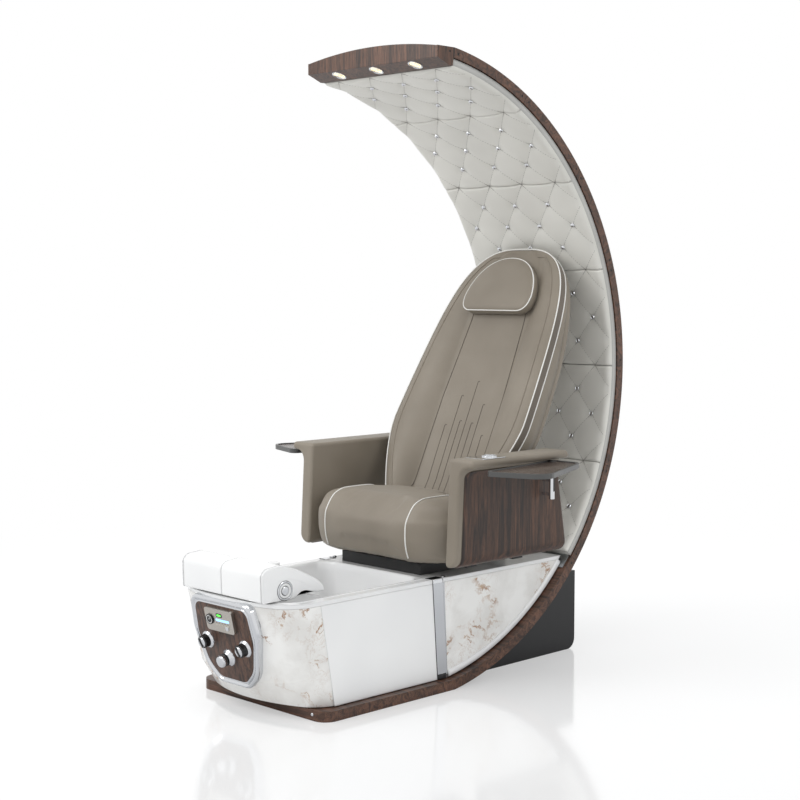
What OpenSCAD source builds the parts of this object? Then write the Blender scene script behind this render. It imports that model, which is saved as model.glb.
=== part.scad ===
// Pedicure spa chair: a foot tub with a seat and massage back, under a tufted timber arch.
// Frame: +Z up, floor at z = 0, the sitter faces -Y, +X is the sitter's left.

/* [Arch] */
// Outer radius of the arch
arch_r = 1104; // [1090:1:1120]
// Width of the arch
arch_w = 645; // [600:1:670]
// Thickness of the wooden strap
strap_t = 35; // [28:1:42]
// Depth that the arch's circle would reach below the floor
arch_sink = 14; // [6:1:20]
// Angle from the top of the arch to its first joint
first_joint = 8.6; // [8:0.1:9.2]
// Angle that each wooden segment spans
segment_angle = 20.43; // [19.8:0.01:20.8]
// Length of the flat base ahead of the arch's centre
base_reach = 428; // [400:1:440]
// Radius of the base's front corners
base_corner_r = 50; // [20:1:60]
// Thickness of the steel splice plates inside the joints
splice_t = 3; // [2:0.5:5]
// Length of a splice plate along the arch
splice_len = 110; // [80:5:140]
// Radius of the joint screws
screw_r = 4; // [3:0.5:5]

/* [Liner] */
// Thickness of a liner panel at its seams
liner_t = 24; // [18:1:28]
// Height of the tufts above the seams
tuft_h = 14; // [8:1:16]
// Sideways pitch of the tuft buttons
tuft_pitch = 161; // [150:1:170]
// Inset of the liner from the strap's side edge
liner_inset = 6; // [3:1:10]
// Radius of a tuft button
button_r = 8; // [6:0.5:10]

/* [Light bar] */
// Length of the light bar ahead of the first joint
bar_len = 83; // [70:1:95]
// Height of the bar's front face at its ends
bar_face_h = 38; // [34:1:44]
// Rise of the bar's crowned top at the middle
bar_crown = 26; // [10:1:30]
// Radius of a downlight's bezel
light_r = 25; // [20:1:28]
// Sideways pitch of the downlights
light_pitch = 190; // [160:1:210]

/* [Tub] */
// Width of the tub
tub_w = 580; // [560:1:600]
// Height of the tub's rim above the floor
rim_z = 388; // [376:1:400]
// Distance from the arch's centre forward to the tub's front
tub_reach = 593; // [580:1:600]
// Forward lean of the tub's front, in degrees
front_lean = 12.9; // [11:0.1:14]
// Lean of the tub's front below its chin, in degrees
chin_lean = 33; // [28:0.5:36]
// Height of the chin, where the front leans more
chin_z = 110; // [100:1:120]
// Radius of the tub front's bow
bow_r = 641; // [600:1:700]
// Radius of the tub's front corners
tub_corner_r = 110; // [90:1:130]
// Thickness of the outer panels
skin_t = 6; // [4:1:8]
// Thickness of the rim and deck
rim_t = 14; // [12:1:18]
// Width of the rim beside the bowl
rim_w = 40; // [36:1:44]
// Wall of the bowl
bowl_wall = 6; // [5:1:8]
// Height of the bowl's floor
bowl_floor_z = 120; // [110:1:140]
// Distance from the arch's centre to the bowl's rear wall
bowl_back = 92; // [80:1:110]
// Width of the upright trim bands at the rim
band_w = 56; // [48:1:60]
// Radius of the drain strainer
drain_r = 30; // [24:1:36]
// Radius of the jet cover
jet_r = 62; // [55:1:68]

/* [Chassis] */
// Width of the frame's beams
beam_w = 40; // [30:1:50]
// Sideways offset of the frame's beams
frame_x = 180; // [160:1:200]
// Distance from the tub's front to the floor rails
frame_front = 230; // [220:1:240]
// Length of the floor rails
frame_len = 480; // [440:1:500]
// Distance between the front and rear posts
post_run = 360; // [340:1:380]

/* [Pump housing] */
// Width of the pump housing
housing_w = 440; // [400:1:460]
// Height of the pump housing
housing_h = 300; // [280:1:320]
// Distance from the arch's rear to the housing's rear
housing_inset = 152; // [130:1:170]
// Height at which the housing starts under the arch
housing_low = 69; // [60:1:80]
// Wall of the housing beside its hollow
housing_wall = 4; // [4:1:8]

/* [Control panel] */
// Width of the bezel at its widest
bezel_w = 324; // [316:1:330]
// Height of the bezel along the tub's front
bezel_h = 298; // [292:1:302]
// Stand-out of the bezel from the tub's front
bezel_out = 9; // [6:1:12]
// Width of the bezel's bright rim
bezel_rim = 20; // [16:1:24]
// Width of the display pod
pod_w = 141; // [136:1:146]
// Height of the display pod
pod_h = 78; // [70:1:84]
// Radius of the two valve knobs
knob_r = 30; // [26:1:33]
// Sideways offset of a valve knob
knob_x = 96; // [92:1:100]

/* [Footrest] */
// Width of one footrest pad
foot_w = 208; // [195:1:212]
// Gap between the two pads
foot_gap = 3; // [2:1:8]
// Radius of the pads' pivot knobs
pivot_knob_r = 32; // [28:1:33]
// Radius of the footrest's axle
axle_r = 8; // [6:1:10]

/* [Seat] */
// Width of the seat cushion
seat_w = 668; // [640:1:676]
// Height of the seat cushion's underside
seat_z = 440; // [440:1:446]
// Height of the seat cushion at its front edge
seat_t = 184; // [174:1:186]
// Rise of the seat cushion's crown
seat_crown = 30; // [16:1:36]
// Width between the two lines of piping
piping_w = 408; // [380:1:430]
// Depth of the seat cushion, front to rear
seat_depth = 292; // [280:1:294]
// Reach of the seat's rear tongue under the back
tongue_len = 58; // [50:1:60]
// Half width of the seat's rear tongue
tongue_w = 150; // [140:1:155]
// Travel of the seat slide
slide_travel = 110; // [80:1:140]

/* [Back] */
// Length of the back, bottom to top
back_len = 1070; // [1040:1:1080]
// Width of the back at its widest
back_w = 648; // [600:1:660]
// Width of the back at its lower end
back_low_w = 410; // [380:1:440]
// Height up the back where it is widest
back_wide_s = 329; // [300:1:360]
// Recline of the back from upright, in degrees
recline = 30; // [29:0.1:31]
// Depth of the body channel at its lower end
scoop = 78; // [60:1:84]
// Width of the body channel
channel_w = 300; // [280:1:320]
// Depth of the cushion behind its piping, at its lower part
band_t = 92; // [88:1:96]
// Depth of the cushion behind its piping, at its top
band_top_t = 24; // [20:1:28]
// Gap between the back's top and the tufted liner
back_gap = 8; // [8:1:20]
// Length of the headrest pillow
head_len = 226; // [200:1:236]
// Width of the headrest pillow
head_w = 338; // [310:1:350]
// Radius of the back's hinge pin
hinge_r = 8; // [6:1:10]

/* [Arms] */
// Clear width between the arms
arm_gap = 692; // [688:1:704]
// Thickness of an arm's wall
arm_t = 54; // [48:1:60]
// Width of an arm's top pad
arm_top_w = 112; // [104:1:118]
// Height of the arms' underside
arm_z0 = 436; // [430:1:440]
// Height of the arms' top
arm_z1 = 807; // [796:1:815]
// Thickness of the wooden cladding
clad_t = 6; // [4:1:8]

/* [Trays] */
// Thickness of a tray
tray_t = 17; // [14:1:20]
// Height of a tray's underside
tray_z = 757; // [750:1:760]
// Radius of a tray's post
post_r = 10; // [8:1:12]

/* [Fits] */
// Running clearance between moving pieces
fit = 0.4; // [0.3:0.1:0.6]
// Radial clearance of shafts in their bores
shaft_fit = 0.1; // [0.05:0.01:0.15]

/* [Hidden] */
$fn = 64;
eps = 0.01;
joint_gap = 0.05;
segments = 6;
knob_row = -162;
mixer_row = -210;
pod_row = -76.5;
pod_out = 12;
nose = (bezel_out + pod_out - 1) * cos(front_lean) + (pod_row + pod_h / 2) * sin(front_lean);
arch_y = (tub_reach + nose - arch_r) / 2;
arch_z = arch_r - arch_sink;
arch_in = arch_r - strap_t;
base_end = (sqrt(pow(arch_r, 2) - pow(arch_z, 2)) + sqrt(pow(arch_in, 2) - pow(arch_z - strap_t, 2))) / 2;
liner_back_r = arch_in - splice_t;
liner_face_r = liner_back_r - liner_t;
liner_half = arch_w / 2 - liner_inset;
tuft_rows = 4;
row_cells = 3;
last_joint = first_joint + segments * segment_angle;
half_tub = tub_w / 2;
front_y = arch_y - tub_reach;
bowl_y = arch_y + bowl_back;
deck_y = bowl_y + rim_w + 12;
skirt_z0 = strap_t + 3;
skirt_z1 = rim_z - rim_t - fit;
reveal = 20;
seam_top_y = front_y + 176;
seam_lean = 9.9;
band_top_y = bowl_y + 4;
band_lean = 4.2;
back_z = 600;
taper_s = 600;
top_t = 48;
back_top_z = back_z + back_len * cos(recline) - top_t * sin(recline);
back_y = arch_y + sqrt(pow(liner_face_r - tuft_h - back_gap, 2) - pow(back_top_z - arch_z, 2))
    - back_len * sin(recline) - top_t * cos(recline);
seat_front_y = back_y - 303;
seat_rear_y = seat_front_y + seat_depth;
hinge_y = back_y + 131;
hinge_z = back_z - 8;
lug_x = 168;
lug_t = 10;
plinth_w = 400;
plinth_y0 = seat_front_y + 76;
plinth_len = 440;
rail_x = 150;
rail_z = rim_z + 14;
rail_h = 24;
arm_y0 = seat_front_y + 42;
arm_len = 586;
arm_front_lean = 3.2;
arm_rear_lean = 10;
clad_y0 = arm_y0 + 28;
clad_z1 = arm_z1 - 72;
post_x = arm_gap / 2 + arm_t + 40;
post_y = arm_y0 + 450;
post_z0 = 637;
hub_r = post_r + 7;
bezel_top = -10;
pivot_y = front_y + 99;
pivot_z = rim_z + 35;
foot_x1 = foot_w + foot_gap / 2;
ear_t = 11;
shaft_lift = 46;
spray_x = -(half_tub - 20);

spray_y = bowl_y - 230;

// ---- shared shapes ----

// A point on the arch at radius r, at angle a from its top towards the rear
function on_arch(x, r, a) = [x, arch_y + r * sin(a), arch_z + r * cos(a)];

function unit(v) = v / norm(v);

// Points of the arc that rounds corner b between a and c
function corner_arc(a, b, c, r, n) = r <= 0 ? [b] :
    let(u = unit(a - b), v = unit(c - b), half = acos(u * v) / 2,
        centre = b + unit(u + v) * r / sin(half),
        p = b + u * r / tan(half) - centre, q = b + v * r / tan(half) - centre,
        start = atan2(p[1], p[0]), turn = atan2(q[1], q[0]) - start,
        sweep = turn > 180 ? turn - 360 : turn < -180 ? turn + 360 : turn)
    [for (k = [0:n]) centre + r * [cos(start + sweep * k / n), sin(start + sweep * k / n)]];

// An outline whose corners are rounded: each entry is [x, y, radius]
function rounded(pts, n = 6) = let(m = len(pts)) [for (i = [0:m - 1]) each
    let(a = pts[(i + m - 1) % m], b = pts[i], c = pts[(i + 1) % m])
    corner_arc([a[0], a[1]], [b[0], b[1]], [c[0], c[1]], b[2], n)];

// A profile in the Y-Z plane, extruded sideways about x = 0
module across(w) rotate([90, 0, 90]) linear_extrude(w, center = true) children();

// A band of the arch between two radii and two angles
module arch_band(r1, r2, a1, a2, w) {
    translate([0, arch_y, arch_z]) rotate([0, -90, 0]) rotate([0, 0, a1])
        rotate_extrude(angle = a2 - a1, $fn = 240) translate([r1, -w / 2]) square([r2 - r1, w]);
}

// A horizontal or upright cylinder along X through [y, z]
module rod_x(r, x0, x1, y, z) translate([x0, y, z]) rotate([0, 90, 0]) cylinder(r = r, h = x1 - x0);

// A rectangle with round corners
module round_rect(w, h, r) {
    square([w - 2 * r, h], center = true);
    square([w, h - 2 * r], center = true);
    for (sx = [-1, 1], sy = [-1, 1]) translate([sx * (w / 2 - r), sy * (h / 2 - r)]) circle(r);
}

// Closed solid from a grid of points [row][column] and rings of points below its edge; the last ring
// is closed straight across, or around a middle point
module grid_solid(grid, rings, middle = undef) {
    nv = len(grid) - 1;
    nu = len(grid[0]) - 1;
    cols = nu + 1;
    loop = 2 * (nu + nv);
    base = cols * (nv + 1);
    last = base + (len(rings) - 1) * loop;
    function top_loop(p) = p < nu ? p : p < nu + nv ? (p - nu) * cols + nu :
        p < 2 * nu + nv ? nv * cols + nu - (p - nu - nv) : (loop - p) * cols;
    function ring_at(k, p) = k == 0 ? top_loop(p % loop) : base + (k - 1) * loop + p % loop;
    function high(i, j) = norm(grid[j][i] - grid[j + 1][i + 1]) <= norm(grid[j][i + 1] - grid[j + 1][i]);
    top = [for (j = [0:nv - 1], i = [0:nu - 1]) let(a = j * cols + i, b = a + 1, c = b + cols, d = a + cols)
        each high(i, j) ? [[a, c, b], [a, d, c]] : [[a, d, b], [b, d, c]]];
    side = [for (k = [0:len(rings) - 1], p = [0:loop - 1])
        let(a = ring_at(k, p), b = ring_at(k, p + 1), c = ring_at(k + 1, p + 1), d = ring_at(k + 1, p))
        each [[a, b, c], [a, c, d]]];
    k = len(rings);
    function left(j) = ring_at(k, loop - j);
    function right(j) = ring_at(k, nu + j);
    ends = [for (i = [0:nu - 1]) each [[left(1), ring_at(k, i), ring_at(k, i + 1)],
        [left(nv - 1), ring_at(k, nu + nv + i), ring_at(k, nu + nv + i + 1)]]];
    strips = [[left(1), right(0), right(1)], [left(nv - 1), right(nv - 1), right(nv)],
        for (j = [1:nv - 2]) each [[left(j), right(j), right(j + 1)], [left(j), right(j + 1), left(j + 1)]]];
    hub = base + k * loop;
    fan = [for (p = [0:loop - 1]) [hub, ring_at(k, p), ring_at(k, p + 1)]];
    polyhedron([each [for (row = grid) each row], each [for (r = rings) each r], if (middle != undef) middle],
        middle == undef ? [each top, each side, each ends, each strips] : [each top, each side, each fan],
        convexity = 6);
}

// The points of a grid's edge, in ring order
function edge_loop(g) = let(nv = len(g) - 1, nu = len(g[0]) - 1) [
    for (i = [0:nu - 1]) g[0][i], for (j = [0:nv - 1]) g[j][nu],
    for (i = [nu:-1:1]) g[nv][i], for (j = [nv:-1:1]) g[j][0]];

// ---- arch ----

// Both ends of the screws beside each joint, on both side edges
module joint_screw_places(joints) {
    for (j = joints, d = [-1, 1], s = [-1, 1])
        translate(on_arch(s * arch_w / 2, arch_r - strap_t / 2, first_joint + j * segment_angle + d * 1.1))
            rotate([0, -90 * s, 0]) children();
}

module strap_profile() {
    intersection() {
        union() {
            difference() {
                translate([arch_y, arch_z]) circle(arch_r, $fn = 240);
                translate([arch_y, arch_z]) circle(arch_in, $fn = 240);
                translate([arch_y - 2 * arch_r, -arch_r]) square([2 * arch_r, 3 * arch_r]);
            }
            translate([arch_y - base_reach, 0])
                square([base_reach + base_end, strap_t]);
        }
        polygon([[arch_y, arch_z], [arch_y - base_reach - 10, arch_z], [arch_y - base_reach - 10, 0],
            [arch_y + arch_r, 0],
            [arch_y + 1.4 * arch_r * sin(last_joint), arch_z + 1.4 * arch_r * cos(last_joint)]]);
    }
}

module sled_base() {
    color("#4a352c") difference() {
        intersection() {
            across(arch_w) strap_profile();
            linear_extrude(2 * arch_r) union() {
                translate([-arch_w / 2, arch_y - base_reach + base_corner_r]) square([arch_w, 2 * arch_r]);
                translate([-arch_w / 2 + base_corner_r, arch_y - base_reach])
                    square([arch_w - 2 * base_corner_r, 2 * arch_r]);
                for (s = [-1, 1]) translate([s * (arch_w / 2 - base_corner_r), arch_y - base_reach + base_corner_r])
                    circle(base_corner_r);
            }
        }
        joint_screw_places([segments]) translate([0, 0, -1]) cylinder(r = screw_r, h = 13);
    }
}

module arch_segment(i) {
    a1 = first_joint + (i - 1) * segment_angle;
    color("#5d463e") difference() {
        arch_band(arch_in, arch_r, a1 + joint_gap / 2, a1 + segment_angle - joint_gap / 2, arch_w);
        joint_screw_places([i - 1, i]) translate([0, 0, -1]) cylinder(r = screw_r, h = 13);
    }
}

module joint_screws() color("#1c1c1e")
    joint_screw_places([0:segments]) translate([0, 0, 1]) cylinder(r = screw_r, h = 11);

module joint_plates() color("#8b8d90") {
    half = splice_len / 2 / arch_in * 180 / PI;
    for (j = [0:segments]) let(a = first_joint + j * segment_angle)
        arch_band(arch_in - splice_t, arch_in - fit / 2, j == 0 ? a + joint_gap : a - half, a + half,
            arch_w - 4 * liner_inset);
}

function tuft_rise(x, row) = let(u = x / tuft_pitch + row / 2 + 0.5, v = x / tuft_pitch - row / 2 + 0.5)
    tuft_h * pow(abs(sin(180 * u) * sin(180 * v)), 0.6);

module liner_panel(i) {
    a1 = first_joint + (i - 1) * segment_angle + joint_gap;
    span = segment_angle - 2 * joint_gap;
    n = tuft_rows * row_cells;
    cell = tuft_pitch / 2 / row_cells;
    whole = floor((liner_half - 4) / cell);
    xs = [-liner_half, for (k = [-whole:whole]) k * cell, liner_half];
    grid = [for (j = [0:n]) [for (x = xs)
        on_arch(-x, liner_face_r - tuft_rise(x, j / row_cells), a1 + span * j / n)]];
    back = [for (j = [0:n]) [for (x = xs) on_arch(-x, liner_back_r, a1 + span * j / n)]];
    color("#d8d5cc") grid_solid(grid, [edge_loop(back)]);
}

module tuft_buttons() color("#c9ccd2")
    for (i = [0:segments - 1], row = [1:tuft_rows - 1]) {
        odd = row % 2;
        a = first_joint + (i + row / tuft_rows) * segment_angle;
        for (k = odd == 1 ? [-1:1] : [-1.5:1.5])
            translate(on_arch(k * tuft_pitch, liner_face_r, a)) sphere(button_r, $fn = 24);
    }

module light_bar() {
    y1 = arch_y + arch_r * sin(first_joint);
    z1 = arch_z + arch_r * cos(first_joint);
    y0 = y1 - bar_len;
    low = [arch_y + liner_face_r * sin(first_joint), arch_z + liner_face_r * cos(first_joint)];
    crown_r = (pow(arch_w / 2, 2) + pow(bar_crown, 2)) / 2 / bar_crown;
    color("#5d463e") difference() {
        union() {
            across(arch_w) polygon([[y0, z1 - bar_face_h], [y0, z1], [y1, z1],
                [low[0], low[1]], [low[0] - 14, low[1]]]);
            intersection() {
                translate([0, y0, z1 + bar_crown]) rotate([-atan(bar_crown / bar_len), 0, 0])
                    translate([0, -20, -crown_r]) rotate([-90, 0, 0])
                    cylinder(r = crown_r, h = bar_len + 40, $fn = 240);
                translate([-arch_w / 2, y0, z1 - 10]) cube([arch_w, bar_len - 2, bar_crown + 20]);
            }
        }
        light_places() translate([0, 0, -1]) cylinder(r = light_r, h = 15);
        joint_screw_places([0]) translate([0, 0, -1]) cylinder(r = screw_r, h = 13);
    }
}

// The downlights' places: local +Z points up into the bar, from the middle of its underside
module light_places() {
    y1 = arch_y + arch_r * sin(first_joint);
    z1 = arch_z + arch_r * cos(first_joint) - bar_face_h;
    low = [arch_y + liner_face_r * sin(first_joint) - 14, arch_z + liner_face_r * cos(first_joint)];
    y0 = y1 - bar_len;
    tilt = atan2(low[1] - z1, low[0] - y0);
    for (k = [-1:1]) translate([k * light_pitch, (y0 + low[0]) / 2, (z1 + low[1]) / 2])
        rotate([tilt, 0, 0]) children();
}

module downlights() color("#fff1cf") light_places() {
    translate([0, 0, 8]) cylinder(r = light_r, h = 6);
    translate([0, 0, 0.5]) difference() {
        cylinder(r = light_r, h = 7.5);
        translate([0, 0, -1]) cylinder(r = light_r - 5, h = 9);
    }
}

// ---- tub ----

module tub_plan(inset) {
    cx = half_tub - tub_corner_r;
    by = front_y + bow_r;
    cy = by - sqrt(pow(bow_r - tub_corner_r, 2) - pow(cx, 2));
    reach = 1.3 * bow_r / (bow_r - tub_corner_r);
    intersection() {
        translate([0, by]) circle(bow_r - inset, $fn = 180);
        polygon([[0, by], [-cx * reach, by + (cy - by) * reach], [cx * reach, by + (cy - by) * reach]]);
    }
    for (s = [-1, 1]) translate([s * cx, cy]) circle(tub_corner_r - inset);
    translate([inset - half_tub, cy]) square([tub_w - 2 * inset, arch_y + 300 - cy]);
}

// The tub's plan run along a lean, so that its foremost line passes through [y, z]
module leaning_tub(inset, y, z, lean) translate([0, y, z]) rotate([lean, 0, 0])
    translate([0, -front_y, -500]) linear_extrude(1000) tub_plan(inset);

// Everything inside the tub's outer face less an inset, between two heights and ahead of y_back
module tub_solid(inset, z0, z1, y_back) {
    intersection() {
        leaning_tub(inset, front_y, rim_z, front_lean);
        translate([-500, front_y - 200, z0]) cube([1000, y_back - front_y + 200, z1 - z0]);
    }
}

// The tub's outer face less an inset below its chin
module chin_cut(inset) leaning_tub(inset, front_y + (rim_z - chin_z) * tan(front_lean), chin_z, chin_lean);

module ahead_of_seam(shift = 0) translate([0, seam_top_y + shift, rim_z]) rotate([seam_lean, 0, 0])
    translate([-500, -700, -700]) cube([1000, 700, 1000]);

// Maps onto the tub's leaning front: +Y up the face, +Z outwards, origin at the rim's middle
module on_front() translate([0, front_y, rim_z]) rotate([90 + front_lean, 0, 0]) children();

module tub_basin() color("#f4f4f2") difference() {
    union() {
        tub_solid(0, rim_z - rim_t, rim_z, deck_y);
        tub_solid(rim_w - bowl_wall, bowl_floor_z - bowl_wall, rim_z - 1, bowl_y + bowl_wall);
    }
    tub_solid(rim_w, bowl_floor_z, rim_z + 10, bowl_y);
    translate([0, bowl_y - 170, bowl_floor_z - 20]) cylinder(r = drain_r - 8, h = 40);
    translate([0, bowl_y - 1, bowl_floor_z + 100]) rotate([-90, 0, 0]) cylinder(r = jet_r - 30, h = 20);
    translate([spray_x, spray_y, rim_z - 20]) cylinder(r = 13, h = 40);
}

module front_wrap() color("#e9e4dc") difference() {
    intersection() {
        tub_solid(0, skirt_z0, skirt_z1, arch_y);
        chin_cut(0);
        ahead_of_seam();
    }
    intersection() {
        tub_solid(skin_t, skirt_z0 - 1, skirt_z1 + 1, arch_y + 10);
        chin_cut(skin_t);
    }
    on_front() translate([0, 0, -60]) linear_extrude(100) polygon(bezel_outline(fit));
}

// Y of the trim band's front edge at height z
function band_y(z) = band_top_y + (rim_z - z) * tan(band_lean);

module skirt_side(s) color("#f4f4f2") difference() {
    translate([s * (half_tub - skin_t / 2), 0, 0]) across(skin_t) polygon([
        [seam_top_y - 20, skirt_z1], [band_y(skirt_z1), skirt_z1],
        [band_y(skirt_z0), skirt_z0], [seam_top_y - 20, skirt_z0]]);
    ahead_of_seam(fit);
}

module trim_bands() color("#d9dadc") for (s = [-1, 1]) {
    translate([s * (half_tub - skin_t / 2 + 1), 0, 0]) across(skin_t + 2) polygon([
        [band_y(skirt_z1) + fit, skirt_z1], [band_y(skirt_z1) + band_w, skirt_z1],
        [band_y(skirt_z0) + band_w - 8, skirt_z0], [band_y(skirt_z0) + fit, skirt_z0]]);
}

module rear_panel(s) color("#e9e4dc") translate([s * (half_tub - skin_t / 2), 0, 0]) across(skin_t)
    intersection() {
        polygon([[band_y(skirt_z1) + band_w + fit, skirt_z1], [arch_y + arch_r, skirt_z1],
            [arch_y + arch_r, skirt_z0], [band_y(skirt_z0) + band_w - 8 + fit, skirt_z0]]);
        translate([arch_y, arch_z]) circle(arch_in - reveal, $fn = 240);
    }

module deck() color("#f4f4f2") intersection() {
    translate([-half_tub, deck_y, rim_z - rim_t]) cube([tub_w, arch_r, rim_t]);
    across(tub_w) translate([arch_y, arch_z]) circle(arch_in - reveal, $fn = 240);
}

// Welded frame: floor rails, posts, top rails and the dark side plates behind the rear panels
module chassis() color("#2b2b2c") intersection() {
    union() {
        for (s = [-1, 1]) {
            translate([s * frame_x - beam_w / 2, front_y + frame_front, strap_t]) cube([beam_w, frame_len, 30]);
            for (y = [deck_y - beam_w / 2, deck_y + post_run]) translate([s * frame_x - beam_w / 2, y, strap_t])
                cube([beam_w, beam_w, rim_z - rim_t - strap_t]);
            translate([s * frame_x - beam_w / 2, deck_y + 10, rim_z - rim_t - 24]) cube([beam_w, post_run + beam_w, 24]);
            translate([s * (half_tub - skin_t - 2 - fit), 0, 0]) across(4) polygon([
                [deck_y + 10, rim_z - rim_t], [arch_y + arch_r, rim_z - rim_t], [arch_y + arch_r, strap_t],
                [deck_y + 10, strap_t]]);
        }
        for (y = [deck_y - beam_w / 2, deck_y + post_run]) translate([-half_tub + skin_t + 2 + fit, y, rim_z - rim_t - beam_w])
            cube([tub_w - 2 * skin_t - 4 - 2 * fit, beam_w, beam_w]);
        for (y = [front_y + frame_front + 30, front_y + frame_front + 330])
            translate([-frame_x, y, strap_t]) cube([2 * frame_x, beam_w, bowl_floor_z - bowl_wall - strap_t]);
    }
    across(tub_w) translate([arch_y, arch_z]) union() {
        circle(arch_in - splice_t - fit, $fn = 240);
        translate([-arch_r, -arch_r]) square([arch_r, arch_r]);
    }
}

module drain() color("#d9dadc") translate([0, bowl_y - 170, 0]) {
    difference() {
        translate([0, 0, bowl_floor_z]) cylinder(r = drain_r, h = 3);
        for (a = [0:45:315]) translate([14 * cos(a), 14 * sin(a), bowl_floor_z - 1]) cylinder(r = 3, h = 5, $fn = 24);
    }
    translate([0, 0, bowl_floor_z - bowl_wall - 40]) difference() {
        cylinder(r = drain_r - 8, h = bowl_wall + 40);
        translate([0, 0, -1]) cylinder(r = drain_r - 11, h = bowl_wall + 42);
    }
}

module jet_cover() color("#f4f4f2") translate([0, bowl_y - eps, bowl_floor_z + 100]) rotate([90, 0, 0]) difference() {
    union() {
        cylinder(r = jet_r, h = 8);
        cylinder(r1 = jet_r - 8, r2 = jet_r - 24, h = 20);
    }
    for (a = [0:36:324]) rotate([0, 0, a]) translate([24, 0, -1]) cylinder(r = 4, h = 30, $fn = 24);
}

module pump_housing() {
    y1 = arch_y + arch_r - housing_inset;
    y0 = arch_y + sqrt(pow(arch_r, 2) - pow(arch_z - housing_low, 2));
    color("#2b2b2c") difference() {
        across(housing_w) difference() {
            polygon(rounded([[y0, 0, 0], [y1, 0, 40], [y1, housing_h, 0], [y0, housing_h, 0]]));
            translate([arch_y, arch_z]) circle(arch_r + fit, $fn = 240);
        }
        translate([housing_wall - housing_w / 2, y0 + 200, 5])
            cube([housing_w - 2 * housing_wall, y1 - y0 - 250, 60]);
    }
}

// ---- controls ----

function bezel_outline(grow) = let(w = bezel_w / 2 + grow, t = bezel_top + grow, b = bezel_top - bezel_h - grow)
    rounded([[-w * 0.85, t, 14], [-w, t - 68, 60], [-w * 0.8, b + 46, 90], [-w * 0.46, b, 44],
        [w * 0.46, b, 44], [w * 0.8, b + 46, 90], [w, t - 68, 60], [w * 0.85, t, 14]]);

module control_bezel() color("#d9dadc") difference() {
    on_front() difference() {
        translate([0, 0, -24]) linear_extrude(24 + bezel_out) polygon(bezel_outline(0));
        translate([0, 0, bezel_out - 4]) linear_extrude(10) polygon(bezel_outline(-bezel_rim));
        translate([0, 0, -30]) linear_extrude(50) polygon(bezel_outline(-bezel_rim - 12));
    }
    tub_solid(0, rim_z - rim_t - fit, rim_z + 5, arch_y);
}

module control_fascia() color("#4a352c") on_front() difference() {
    translate([0, 0, bezel_out - 4]) linear_extrude(3) polygon(bezel_outline(-bezel_rim - fit));
    for (p = [[-knob_x, knob_row], [knob_x, knob_row], [0, mixer_row]])
        translate([p[0], p[1], -1]) cylinder(r = 9 + shaft_fit, h = 20);
    translate([0, pod_row, 0]) linear_extrude(20) round_rect(pod_w - 20, pod_h - 20, 6);
}

module display_pod() color("#b9b3a6") on_front() difference() {
    union() {
        translate([0, pod_row, bezel_out - 1]) linear_extrude(pod_out) round_rect(pod_w, pod_h, 10);
        translate([0, pod_row, bezel_out - 12]) linear_extrude(14) round_rect(pod_w - 22, pod_h - 22, 6);
    }
    translate([-pod_w / 2 + 24, pod_row, bezel_out]) cylinder(r = 6 + shaft_fit, h = 30);
    translate([pod_w / 2 - 34, pod_row - 22, bezel_out + 5]) cylinder(r = 8 + fit, h = 30);
}

module mode_dial() color("#3a3a3c") on_front() translate([-pod_w / 2 + 24, pod_row, 0]) {
    translate([0, 0, bezel_out + pod_out - 1 + fit]) cylinder(r = 17, h = 4);
    translate([0, 0, bezel_out + 2]) cylinder(r = 6, h = pod_out - 2);
}

module start_key() color("#d9dadc") on_front()
    translate([pod_w / 2 - 34, pod_row - 22, bezel_out + 7.5]) cylinder(r = 8, h = pod_out - 6.5);

module turn_knob(x, y, r, out) on_front() translate([x, y, 0]) difference() {
    union() {
        translate([0, 0, -14]) cylinder(r = 9, h = 16 + bezel_out);
        translate([0, 0, bezel_out + 1]) cylinder(r = r, h = 7);
        translate([0, 0, bezel_out + 8 - eps]) cylinder(r1 = r - 6, r2 = r - 9, h = out);
    }
    translate([0, 0, bezel_out + 6 + out]) cylinder(r = r - 13, h = 10);
}

module spray_holder() color("#d9dadc") translate([spray_x, spray_y, 0]) difference() {
    union() {
        translate([0, 0, rim_z]) cylinder(r = 20, h = 5);
        translate([0, 0, rim_z - 18]) cylinder(r = 13 - shaft_fit, h = 19);
    }
    translate([0, 0, rim_z - 20]) cylinder(r = 10.6, h = 40);
}

module spray_head() color("#f4f4f2") translate([spray_x, spray_y, 0]) {
    translate([0, 0, rim_z + 5 + fit]) cylinder(r = 22, h = 12);
    translate([0, 0, rim_z - shaft_lift]) cylinder(r = 10.5, h = shaft_lift + 6);
}

// ---- footrest ----

module footrest_base() {
    color("#f4f4f2") difference() {
        across(2 * (foot_x1 - ear_t - fit)) polygon(rounded([
            [pivot_y - 30, rim_z, 0], [pivot_y - 30, pivot_z - 8, 8], [pivot_y - 12, pivot_z + 16, 8],
            [pivot_y + 12, pivot_z + 18, 10], [pivot_y + 110, rim_z + 4, 30], [pivot_y + 161, rim_z - 4, 8],
            [pivot_y + 154, rim_z - 30, 8], [pivot_y + 70, rim_z - 34, 20], [pivot_y - 8, rim_z - 34, 0],
            [pivot_y - 8, rim_z, 0]]));
        rod_x(axle_r, -300, 300, pivot_y, pivot_z);
        rod_x(pivot_knob_r + 3, -foot_gap / 2 - ear_t - fit, foot_gap / 2 + ear_t + fit, pivot_y, pivot_z);
    }
}

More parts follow.
